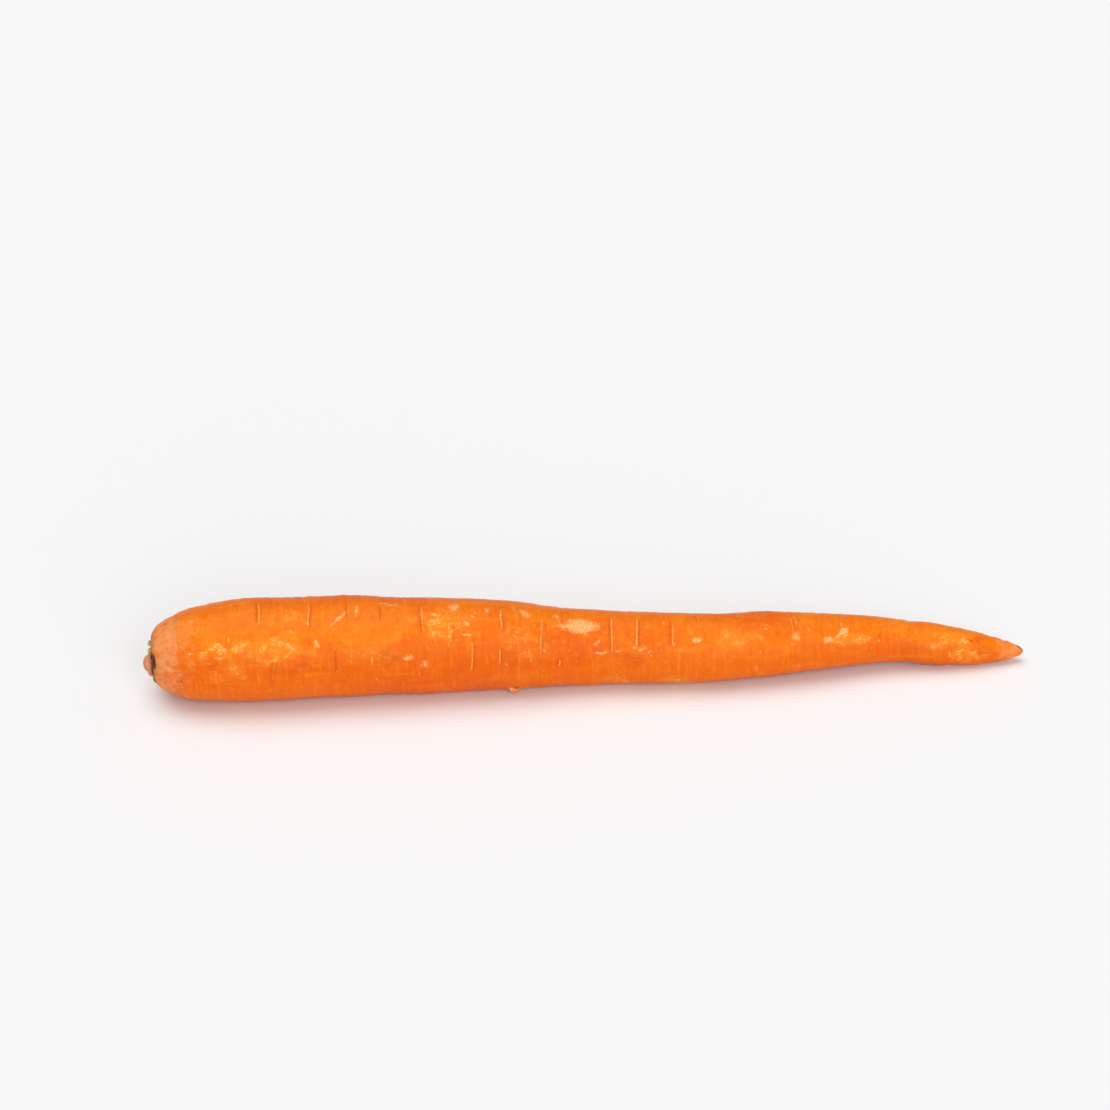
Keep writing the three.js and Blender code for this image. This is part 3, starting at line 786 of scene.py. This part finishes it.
# %% A ragged edge
def make_ragged_edge():
    """The group. It goes from 0 at low to 1 at high with mask + breakup x (grain - a half)."""
    group = bpy.data.node_groups.new("ragged_edge", "ShaderNodeTree")
    for name in ("Mask", "Grain", "Low", "High", "Breakup"):
        group.interface.new_socket(name, in_out="INPUT", socket_type="NodeSocketFloat")
    group.interface.new_socket("Edge", in_out="OUTPUT", socket_type="NodeSocketFloat")
    board = Board(group)
    given = board.node("NodeGroupInput").outputs
    shifted = board.maths("MULTIPLY_ADD", given["Grain"], given["Breakup"], given["Mask"])
    centred = board.maths("SUBTRACT", shifted, board.times(given["Breakup"], 0.5))
    board.node("NodeGroupOutput", {"Edge": board.between(centred, given["Low"], given["High"])})
    return group


def ragged(board, name, grain, low, high, breakup):
    """The mask of that name with a ragged edge."""
    inputs = {"Mask": board.mask(name), "Grain": grain, "Low": low, "High": high, "Breakup": breakup}
    return board.node("ShaderNodeGroup", inputs, node_tree=ragged_edge).outputs["Edge"]


ragged_edge = make_ragged_edge()
taken = [item.name for item in ragged_edge.interface.items_tree if item.in_out == "INPUT"]
print("a ragged edge takes", ", ".join(taken))

# %% [markdown]
# Carrot skin is deep orange flesh seen through a thin moist skin. It drifts from red-orange to
# yellow-orange over a few centimetres, it is mottled at a millimetre, and faint rings of paler skin
# run round it. Dry scuffs are pale, because the torn skin scatters the light, and the corky scars
# are pale too. Light goes a little way in, so a share of subsurface scattering takes the hardness
# off. The gloss is soft where the skin is moist and gone where it is scuffed and dry.

# %% Carrot skin
DEEP_ORANGE = (0.74, 0.106, 0.0006)
BRIGHT_ORANGE = (0.82, 0.175, 0.001)
YELLOW_ORANGE = (0.87, 0.30, 0.012)
PALE_YELLOW = (0.92, 0.48, 0.12)
CHAFED_RED = (0.62, 0.078, 0.001)
SCUFF_PALE = (0.92, 0.47, 0.17)
SCAR_PALE = (0.91, 0.40, 0.10)
SCAR_DARK = (0.52, 0.062, 0.002)
PIT_BROWN = (0.28, 0.038, 0.002)
# Near-black brown of the slit: dead tissue, partly painted shade.
SLIT_SHADE_BROWN = (0.12, 0.022, 0.003)
CROWN_DULL = (0.75, 0.30, 0.12)
RIM_TAN = (0.48, 0.19, 0.07)
# Near-black brown of the dish: dry tissue, deepened by painted shade in the recess.
DISH_SHADE_BROWN = (0.09, 0.03, 0.010)
TAIL_TAN = (0.84, 0.29, 0.09)
TAIL_BROWN = (0.20, 0.10, 0.045)


def make_skin():
    """The taproot's finish: the skin's own colours first, and then its marks in turn."""
    material, skin, place = new_board("carrot_skin")
    bent = skin.warped(place, 900, 0.0005)
    drift = skin.noise(place, 45, 2.0, stretch=(0.6, 1, 1))
    blotch = skin.noise(place, 170, 3.0, 0.6, 0.6, stretch=(0.5, 1, 1))
    mottle = skin.noise(place, 560, 4.0, 0.65)
    grain = skin.noise(place, 1700, 3.0, 0.6)
    rings = skin.noise(bent, 1100, stretch=(1, 0.12, 0.12))
    streaks = skin.noise(bent, 520, 2.0, stretch=(0.08, 1, 1))
    islands = skin.noise(bent, 640, 5.0, 0.7, 0.3, stretch=(0.7, 1, 1))
    spots = skin.flecks(bent, 1000, 0.25, 0.4)

    edges = {
        "chafed": (mottle, 0.25, 0.75, 0.9),
        "speckle_and_sheen": (blotch, 0.2, 0.8, 0.9),
        "scuff": (grain, 0.15, 0.75, 0.9),
        "line": (grain, 0.18, 0.7, 0.35),
        "lump": (grain, 0.3, 0.7, 0.4),
        "crown": (mottle, 0.0, 0.8, 1.0),
        "rim": (grain, 0.2, 0.9, 0.7),
        "dish": (grain, 0.05, 0.35, 0.2),
        "slit": (mottle, 0.25, 0.65, 0.7),
        "tail": (mottle, 0.1, 0.9, 1.0),
        "withered": (grain, 0.3, 0.7, 0.6),
    }
    mark = {name: ragged(skin, name, *edge) for name, edge in edges.items()}
    flecks_and_sheen = skin.times(skin.between(islands, 0.47, 0.62), skin.between(grain, 0.38, 0.56))
    flank = skin.times(skin.mask("flank"), skin.between(grain, 0.3, 0.6))
    color = skin.layers(DEEP_ORANGE, [
        (skin.between(drift, 0.34, 0.62, 0.1, 1.0), 1, BRIGHT_ORANGE),
        (skin.between(blotch, 0.47, 0.75), 0.4, YELLOW_ORANGE),
        (skin.between(blotch, 0.46, 0.28), 0.3, DEEP_ORANGE),
        (skin.between(mottle, 0.5, 0.75), 0.35, YELLOW_ORANGE),
        (skin.between(mottle, 0.48, 0.25), 0.35, CHAFED_RED),
        # Painted shade: the near lower side turns a deeper orange.
        (skin.between(skin.mask("painted_under_shade"), 0.6, 1.0), 0.6, DEEP_ORANGE),
        (skin.between(rings, 0.54, 0.74), 0.35, YELLOW_ORANGE),
        (skin.between(rings, 0.46, 0.28), 0.25, CHAFED_RED),
        (skin.between(streaks, 0.56, 0.74), 0.22, YELLOW_ORANGE),
        (spots, 0.15, PALE_YELLOW),
        (mark["chafed"], 0.5, CHAFED_RED),
        # Yellow flecks of the skin, partly painted sheen laid as a pale network.
        (mark["speckle_and_sheen"], 0.35, YELLOW_ORANGE),
        (skin.times(mark["speckle_and_sheen"], flecks_and_sheen), 0.85, PALE_YELLOW),
        (mark["scuff"], skin.between(grain, 0.34, 0.6, 0.5, 0.9), SCUFF_PALE),
        (flank, 0.6, SCAR_DARK),
        (mark["line"], 0.8, SCAR_PALE),
        (mark["lump"], 0.7, SCUFF_PALE),
        (skin.between(skin.mask("pit"), 0.3, 0.75), 0.6, PIT_BROWN),
        (mark["crown"], skin.between(islands, 0.38, 0.58, 0.12, 0.95), CROWN_DULL),
        (mark["rim"], 0.75, RIM_TAN),
        # Partly painted shade: the dish in the crown is laid near-black brown.
        (mark["dish"], 1, DISH_SHADE_BROWN),
        # Partly painted shade: the slit beside the heart is laid near-black over its dead tissue.
        (mark["slit"], 1, SLIT_SHADE_BROWN),
        (mark["tail"], skin.between(islands, 0.4, 0.6, 0.3, 0.75), TAIL_TAN),
        (mark["withered"], 0.85, TAIL_BROWN),
    ])
    dry = mark["scuff"]
    for name in ("slit", "crown", "tail"):
        dry = skin.maths("MAXIMUM", dry, mark[name])
    height = rings
    for layer, share in ((grain, 0.4), (mottle, 0.7), (spots, 0.15)):
        height = skin.maths("MULTIPLY_ADD", layer, share, height)
    skin.shade({
        "Base Color": color,
        "Roughness": skin.maths("MULTIPLY_ADD", dry, 0.25, skin.between(mottle, 0.3, 0.7, 0.3, 0.46)),
        "Normal": skin.bumps(height, 0.45, 0.0004),
        "Specular IOR Level": 0.11,
        "Subsurface Weight": 0.12,
        "Subsurface Radius": (1.0, 0.3, 0.08),
        "Subsurface Scale": 0.0012,
    })
    return material


taproot.data.materials.append(make_skin())
print(len(taproot.data.materials[0].node_tree.nodes), "nodes in the skin's finish")

# %% [markdown]
# When a carrot is pulled and washed, most side roots tear off close to the skin and leave short
# stubs. They share the skin's flesh, so they belong to the taproot, but as separate closed tubes
# they can be finer than its grid. Each leans towards the tail, widens where it leaves the skin and
# ends blunt and ragged. The one that shows is bent flat along the skin.

# %% Broken side roots
# The one that shows: [mm along the root, angle, length].
NEAR_ROOTLET = [92.6, -48, 1.6]
NEAR_ROOTLET_LEAN = 2.0
NEAR_ROOTLET_SUNK = 0.45
ROOTLET_COUNT = 8
ROOTLET_PLACES = [35, 222]
ROOTLET_WANDER = 60
ROOTLET_LENGTH = [0.6, 1.3]
ROOTLET_RADIUS = 0.55
ROOTLET_LEAN = 0.5
ROOTLET_SUNK = 0.9


def broken_roots():
    """Rows of [place, angle, length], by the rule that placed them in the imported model."""
    k = np.arange(1, ROOTLET_COUNT)
    place = np.interp((k + draw(k, 1)) / (ROOTLET_COUNT + 1), [0, 1], ROOTLET_PLACES)
    angle = SIDE_ROOT_ROWS[2] + ROOTLET_WANDER * (draw(k, 2) - 0.5)
    length = np.interp(draw(k, 3), [0, 1], ROOTLET_LENGTH)
    return np.concatenate([[NEAR_ROOTLET], np.stack([place, angle, length], axis=-1)])


def on_skin(place, angle, height):
    """Points this far above the plain skin, and the outward direction there."""
    place, angle, height = np.broadcast_arrays(place, np.radians(angle), height)
    _, near, up = root_frame(place)
    outward = np.cos(angle)[:, None] * near + np.sin(angle)[:, None] * up
    return middle_point(place) + (plain_radius(place) + height)[:, None] * outward, outward


def tube(path, side, half_width, half_thickness, sides):
    """A closed tube: at each point of the path an ellipse square to it, with its width along the
    side direction. Both tips lie a little way in from the end rings' planes."""
    along_path = unit(np.gradient(path, axis=0))
    side = unit(np.cross(np.cross(along_path, side), along_path))
    thick = np.cross(along_path, side)
    phase = np.linspace(0, 2 * np.pi, sides, endpoint=False)[:, None]
    half_width = np.broadcast_to(half_width, len(path))[:, None, None]
    half_thickness = np.broadcast_to(half_thickness, len(path))[:, None, None]
    rings = path[:, None] + half_width * np.cos(phase) * side[:, None]
    rings = rings + half_thickness * np.sin(phase) * thick[:, None]
    return path[0], rings, path[-1]


def broken_root(place, angle, length, k):
    """A short tube from under the skin to its ragged end: it goes out with t and towards the tail
    with t squared, and the noise that roughens it grows towards the end."""
    t = np.linspace(0, 1, 14)[:, None]
    lean, sunk = (ROOTLET_LEAN, ROOTLET_SUNK) if k else (NEAR_ROOTLET_LEAN, NEAR_ROOTLET_SUNK)
    foot, outward = on_skin(np.array([place]), angle, -sunk)
    tangent = root_frame(np.array([place]))[0]
    path = foot + (length + ROOTLET_SUNK) * (t * outward + lean * t ** 2 * tangent) / np.hypot(1, lean)
    width = ROOTLET_RADIUS * (0.9 + 0.5 * bell(t[:, 0] - 0.4, 0.3) - 0.1 * t[:, 0])
    start, rings, _ = tube(path, tangent, width, 0.85 * width, 18)
    uneven = 0.1 * layered_noise(rings, 0.7, 120 + k)[..., None] * (rings - path[:, None]) / ROOTLET_RADIUS
    rings = rings + t[..., None] * (2 * uneven + 0.12 * layered_noise(rings, 0.6, 125 + k)[..., None])
    return start + to_frame, rings + to_frame, rings[-1].mean(axis=0) + to_frame - 0.15 * outward[0]


stub_rows = broken_roots()
stubs = [broken_root(*row, k) for k, row in enumerate(stub_rows)]
side_roots = add_piece("broken_side_roots", closed_mesh("broken_side_roots", stubs))
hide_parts("taproot")
print(len(stub_rows), "broken side roots")

# %% [markdown]
# A torn end is drier and duller than the skin, and the root's fibres show along it. It looks alike
# all over, so a small finish of its own is simpler than more masks in the skin's.

# %% Finish of the broken ends
BROKEN_DULL = (0.78, 0.24, 0.04)
BROKEN_PALE = (0.90, 0.45, 0.16)
FIBRE_BROWN = (0.50, 0.18, 0.05)


def make_broken_root_finish():
    """Dull orange with tan, torn fibres along it."""
    material, torn, place = new_board("broken_root")
    fibre = torn.noise(place, 2600, stretch=(1, 1, 0.3))
    color = torn.layers(BROKEN_DULL, [
        (torn.between(torn.noise(place, 1400), 0.35, 0.65), 1, BROKEN_PALE),
        (torn.between(fibre, 0.54, 0.7), 0.6, FIBRE_BROWN),
    ])
    torn.shade({
        "Base Color": color,
        "Roughness": torn.between(fibre, 0.3, 0.7, 0.5, 0.75),
        "Normal": torn.bumps(fibre, 0.5, 0.0002),
        "Specular IOR Level": 0.2,
    })
    return material


broken_finish = make_broken_root_finish()
side_roots.data.materials.append(broken_finish)
print(len(broken_finish.node_tree.nodes), "nodes in the broken ends' finish")

# %% [markdown]
# The leaves were twisted off, and the lowest part of each leaf stalk dried in the crown's dish: a
# ring of curved stubs, a few more inside it, and the round heart that the leaves grew from. They
# grow out of one seat, so they're one piece here too. Closed forms are pushed into each other and
# a voxel remesh melts them into one skin, with small fillets where they meet. That is quicker than
# a boolean, and it leaves even faces for the fibres that are added afterwards. The remesh works in
# millimetres, because its voxels can't be finer than a tenth of a millimetre in a scene in metres.

# %% Leaf-stalk stubs
SEAT_RADIUS = 4.9
SEAT_TOP = -0.35
STALK_SUNK = 0.35
OUTER_STALKS = {"count": 8, "ring": 3.9, "thickness": 1.0, "half_angle": 25, "height": 1.2, "lean": 0.35,
                "kind": 20}
INNER_STALKS = {"count": 5, "ring": 2.5, "thickness": 1.2, "half_angle": 32, "height": 1.6, "lean": 0.1,
                "kind": 30}
LOW_STALKS = {"angle": 23, "spread": 30, "share": 0.85}
HEART_KNOBS = [
    {"place": np.array([1.0, -1.1]), "radius": 2.45, "height": 2.7},
    {"place": np.array([1.85, -2.85]), "radius": 1.6, "height": 1.8},
]
HEART_SUNK = 0.6
SCRAP_ANGLE = -44
# The bent scrap: [radius, height], from the seat out over the rim.
SCRAP_PATH = [[4.3, -0.4], [4.6, 0.0], [5.0, 0.25], [5.5, 0.32], [6.0, 0.25], [6.5, -0.2], [6.8, -0.8]]
VOXEL = 0.11

crown_tangent, crown_near, crown_up = (v[0] for v in root_frame(np.zeros(1)))
crown_axes = np.array([crown_near, crown_up, -crown_tangent])
crown_place = middle_point(np.zeros(1))[0] + to_frame


def stalk_measures(stalks, k):
    """Where stalk k stands round the crown, in radians, and how tall it is. A bell of the angle
    takes most of the height from those in front, which broke off lowest."""
    turn = 2 * np.pi * (k + 0.35 * draw(k, stalks["kind"])) / stalks["count"]
    from_lowest = np.degrees(around_from(turn, LOW_STALKS["angle"]))
    left = 1 - LOW_STALKS["share"] * bell(from_lowest, LOW_STALKS["spread"])
    return turn, stalks["height"] * (0.35 + 0.65 * draw(k, stalks["kind"] + 1)) * left


def stalk_base(stalks, k):
    """A curved slab that follows its ring: around = turn + half angle x cosine, out = ring + lean
    + half thickness x sine. It narrows towards its top, which is ragged and dished."""
    turn, height = stalk_measures(stalks, k)
    part = np.linspace(0, 1, 16)[:, None]
    phase = -np.linspace(0, 2 * np.pi, 48, endpoint=False)[None, :]
    narrowing = np.sqrt(1 - 0.75 * part ** 4)
    around = turn + np.radians(stalks["half_angle"]) * narrowing * np.cos(phase)
    out = stalks["ring"] + stalks["lean"] * part + 0.5 * stalks["thickness"] * narrowing * np.sin(phase)
    z = SEAT_TOP - STALK_SUNK + part * (height - SEAT_TOP + STALK_SUNK)
    rings = np.stack([out * np.cos(around), out * np.sin(around), z + 0 * phase], axis=-1)
    rings[..., 2] += 0.3 * part ** 3 * layered_noise(rings * [1, 1, 0.2], 1.0, 130 + k)
    middle = (stalks["ring"] + stalks["lean"]) * np.array([np.cos(turn), np.sin(turn)])
    return np.append(middle, SEAT_TOP - STALK_SUNK), rings, np.append(middle, height - 0.15)


def round_form(centre, outline, sides):
    """An outline of [radius, height] turned round a centre, closed by its first and last heights."""
    radius, height = np.array(outline).T
    phase = np.linspace(0, 2 * np.pi, sides, endpoint=False)
    rings = np.stack([
        centre[0] + radius[1:-1, None] * np.cos(phase),
        centre[1] + radius[1:-1, None] * np.sin(phase),
        height[1:-1, None] + 0 * phase,
    ], axis=-1)
    return np.append(centre, height[0]), rings, np.append(centre, height[-1])


def heart_knob(place, radius, height):
    """A lobed knob: radius x cosine and height x sine, both to a power under 1, which makes the
    quarter ellipse squarer, turned round the knob's own centre."""
    t = np.linspace(0, np.pi / 2, 14)
    dome = np.stack([radius * np.cos(t) ** 0.8, height * np.sin(t) ** 0.8], axis=1)
    first, rings, last = round_form(place, [[0, -HEART_SUNK], [radius, -HEART_SUNK], *dome], 48)
    from_axis = rings[..., :2] - place
    lobes = 1 + 0.06 * np.cos(3 * np.arctan2(from_axis[..., 1], from_axis[..., 0]) + 0.8)
    rings[..., :2] = place + from_axis * lobes[..., None]
    return first, rings, last


def bent_scrap():
    """A dry strip of stalk base that is bent out over the rim, along a path of [radius, height]."""
    steps = np.array(SCRAP_PATH)
    t = np.linspace(0, len(steps) - 1, 22)
    out, z = (np.interp(t, np.arange(len(steps)), steps[:, i]) for i in (0, 1))
    angle = np.radians(SCRAP_ANGLE) + 0.05 * np.sin(1.3 * t)
    path = np.stack([out * np.cos(angle), out * np.sin(angle), z], axis=-1)
    side = np.array([-np.sin(angle), np.cos(angle), 0 * angle]).T
    width = 0.95 - 0.5 * (t / t[-1]) ** 3
    return tube(path, side, width, 0.3, 20)


seat_outline = [[0, -2.0], [4.0, -1.9], [SEAT_RADIUS, -0.9], [SEAT_RADIUS, -0.5], [4.6, SEAT_TOP],
                [2.0, SEAT_TOP], [0, SEAT_TOP]]
forms = [round_form(np.zeros(2), seat_outline, 64), bent_scrap()]
forms += [heart_knob(**knob) for knob in HEART_KNOBS]
for stalks in (OUTER_STALKS, INNER_STALKS):
    forms += [stalk_base(stalks, k) for k in range(stalks["count"])]


def melted(name, parts, voxel):
    """The parts as one skin: a voxel remesh of them all, worked out by its modifier."""
    lumps = bpy.data.objects.new(name, closed_mesh(name, parts, scale=1.0))
    bpy.context.scene.collection.objects.link(lumps)
    remesh = lumps.modifiers.new("melt", "REMESH")
    remesh.mode = "VOXEL"
    remesh.voxel_size = voxel
    result = bpy.data.meshes.new_from_object(lumps.evaluated_get(bpy.context.evaluated_depsgraph_get()))
    bpy.data.objects.remove(lumps)
    return result


crown_mesh = melted("leaf_stalk_stubs_skin", forms, VOXEL)
at, normal = coordinates(crown_mesh)
print(len(crown_mesh.polygons), "faces in the stubs")

# %% [markdown]
# Dried stalk is stringy. Fibres run up each stub, so the noise is stretched along its height. The
# masks for the colour are worked out from the same measures as the shape: which stub a vertex is
# in, how near its broken top, and how deep in the gaps, where shade is painted in.

# %% Fibres and masks of the stubs
around_crown = np.arctan2(at[:, 1], at[:, 0])
out_crown = np.hypot(at[:, 0], at[:, 1])
fibres = layered_noise(at * [1, 1, 0.18], 0.5, 140, 2)
lumps_small = layered_noise(at, 1.2, 141)
knob_shares = []
for knob in HEART_KNOBS:
    from_axis = np.hypot(*(at[:, :2] - knob["place"]).T) / knob["radius"]
    knob_shares.append(np.clip((1.12 - from_axis) / 0.15, 0, 1) * np.clip((at[:, 2] + 0.4) / 0.5, 0, 1))
heart, small_knob = np.maximum(*knob_shares), knob_shares[1] * (1 - knob_shares[0])
broken_top, tone = np.zeros(len(at)), np.full(len(at), 0.5)
for stalks in (OUTER_STALKS, INNER_STALKS):
    for k in range(stalks["count"]):
        turn_k, height_k = stalk_measures(stalks, k)
        sideways = around_from(around_crown, np.degrees(turn_k)) / np.radians(stalks["half_angle"])
        inward = (out_crown - stalks["ring"] - 0.5 * stalks["lean"]) / (0.6 * stalks["thickness"])
        inside = np.hypot(sideways, inward) < 1.1
        broken_top[inside] = np.clip(1 - (height_k - at[inside, 2]) / 0.35, 0, 1)
        tone[inside] = draw(k, stalks["kind"] + 2)
scrap = np.clip((out_crown - 5.0) / 0.3, 0, 1)
# Painted shade: low in the gaps, and most in front, the stubs and seat turn dark brown.
in_front = bell(around_from(around_crown, 0), 0.8)
deep = np.clip((0.45 + 1.0 * in_front - at[:, 2]) / 0.8, 0, 1) * (1 - scrap) * (1 - 0.5 * heart)

at = at + normal * (0.07 * fibres * (1 - 0.7 * heart) + 0.06 * lumps_small)[:, None]
placed = (at @ crown_axes + crown_place) * MM
placed[:, 2] = np.maximum(placed[:, 2], 0)
crown_mesh.vertices.foreach_set("co", placed.ravel())
for name, values in {"heart": heart, "small_knob": small_knob, "broken_top": broken_top, "tone": tone,
                     "deep": deep, "scrap": scrap, "fibre": fibres}.items():
    mask(crown_mesh, name, values)
crown_mesh.update()
stubs_piece = add_piece("leaf_stalk_stubs_skin", crown_mesh)
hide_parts("leaf_stalk_stubs")

# %% [markdown]
# The finish reads those masks. The stubs run from tan to olive, the heart is a redder tan, and the
# gaps are painted dark brown as shade, so the ring of stubs still tells from a step away.

# %% Dry stalk
HEART_TAN = (0.66, 0.29, 0.16)
HEART_RED = (0.62, 0.20, 0.085)
STALK_TAN = (0.68, 0.42, 0.13)
STALK_OLIVE = (0.50, 0.33, 0.10)
STALK_DARK = (0.17, 0.085, 0.035)
TORN_PALE = (0.62, 0.42, 0.20)
# The painted shade in the gaps between the stubs.
GAP_SHADE_BROWN = (0.13, 0.04, 0.012)
SCRAP_OLIVE = (0.20, 0.14, 0.07)


def make_dry_stalk():
    """Tan to olive by stub, painted shade in the gaps, pale and stringy where it was torn off."""
    material, stalk, place = new_board("dry_stalk")
    fine = stalk.noise(place, 2600)
    spots = stalk.noise(place, 900, 3.0, 0.6, 0.5)
    fibre = stalk.mask("fibre")
    nub = stalk.layers(HEART_TAN, [
        (stalk.between(spots, 0.38, 0.6), 0.85, HEART_RED),
        (stalk.mask("small_knob"), 1, HEART_RED),
        (stalk.between(fine, 0.55, 0.72), 0.35, STALK_DARK),
    ])
    bent_out = stalk.layers(SCRAP_OLIVE, [(stalk.between(spots, 0.4, 0.6), 1, STALK_OLIVE)])
    color = stalk.layers(STALK_TAN, [
        (stalk.mask("tone"), 1, STALK_OLIVE),
        (stalk.between(spots, 0.5, 0.7), 0.4, STALK_DARK),
        (stalk.between(fibre, 0.0, -0.8), 0.4, STALK_DARK),
        (ragged(stalk, "broken_top", fine, 0.4, 0.9, 0.8), 0.7, TORN_PALE),
        (ragged(stalk, "heart", fine, 0.3, 0.8, 0.4), 1, nub),
        # Painted shade in the gaps between the stubs.
        (ragged(stalk, "deep", fine, 0.2, 0.9, 0.3), 1, GAP_SHADE_BROWN),
        (stalk.mask("scrap"), 1, bent_out),
    ])
    stalk.shade({
        "Base Color": color,
        "Roughness": stalk.between(fine, 0.3, 0.7, 0.6, 0.85),
        "Normal": stalk.bumps(stalk.maths("MULTIPLY_ADD", fibre, 0.5, fine), 0.6, 0.0002),
        "Specular IOR Level": 0.25,
    })
    return material


stubs_piece.data.materials.append(make_dry_stalk())
print(len(stubs_piece.data.materials[0].node_tree.nodes), "nodes in the stalks' finish")

# %% [markdown]
# Washing leaves a few root hairs as thin threads that lie on the skin. Each is a tube whose path is
# a wavy line in the skin's own coordinates, lifted a little off it, and it thins towards its end.
# The longest shows under the near edge, where the photograph has it.

# %% Fine rootlets
# The one that shows: [mm along the root, angle, length, heading].
NEAR_THREAD = [91.5, -44, 7.0, 5.0]
THREAD_COUNT = 15
THREAD_RADIUS = 0.13


def thread(place, angle, length, heading, k):
    """A path along the skin: place and angle run on in the heading, with two waves across it. Its
    height goes from under the skin to a little above it."""
    t = np.linspace(0, 1, 22)
    wave = 0.12 * length * (np.sin(5 * t + 6 * draw(k, 101)) + 0.4 * np.sin(13 * t + 6 * draw(k, 102)))
    ahead = length * t
    c, s = np.cos(np.radians(heading)), np.sin(np.radians(heading))
    run = place + c * ahead - s * wave
    round_by = (s * ahead + c * wave) / plain_radius(run)
    height = -0.3 + 0.6 * np.clip(4 * t, 0, 1) + (0.5 * draw(k, 103)) * t ** 2
    path, outward = on_skin(run, angle + np.degrees(round_by), height)
    path[:, 2] = np.maximum(path[:, 2], 0.2)
    thickness = THREAD_RADIUS * (1 - 0.7 * t)
    return tube(path + to_frame * [1, 1, 0], outward, thickness, thickness, 8)


def thread_rows():
    """Rows of [place, angle, length, heading]: the one that the photograph shows, then draws."""
    k = np.arange(1, THREAD_COUNT)
    place = strewn(k, THREAD_COUNT, 104, 20, 200)
    row = np.take(SIDE_ROOT_ROWS[2:], (2 * draw(k, 105)).astype(int)) + 60 * (draw(k, 106) - 0.5)
    length = 2.0 + 5.0 * draw(k, 107)
    heading = np.where(draw(k, 108) > 0.5, 0, 180) + 80 * (draw(k, 109) - 0.5)
    return np.concatenate([[NEAR_THREAD], np.stack([place, row, length, heading], axis=-1)])


threads = [thread(*row, k) for k, row in enumerate(thread_rows())]
rootlets = add_piece("fine_rootlets", closed_mesh("fine_rootlets", threads))
rootlets.data.materials.append(broken_finish)
print(len(threads), "fine rootlets")
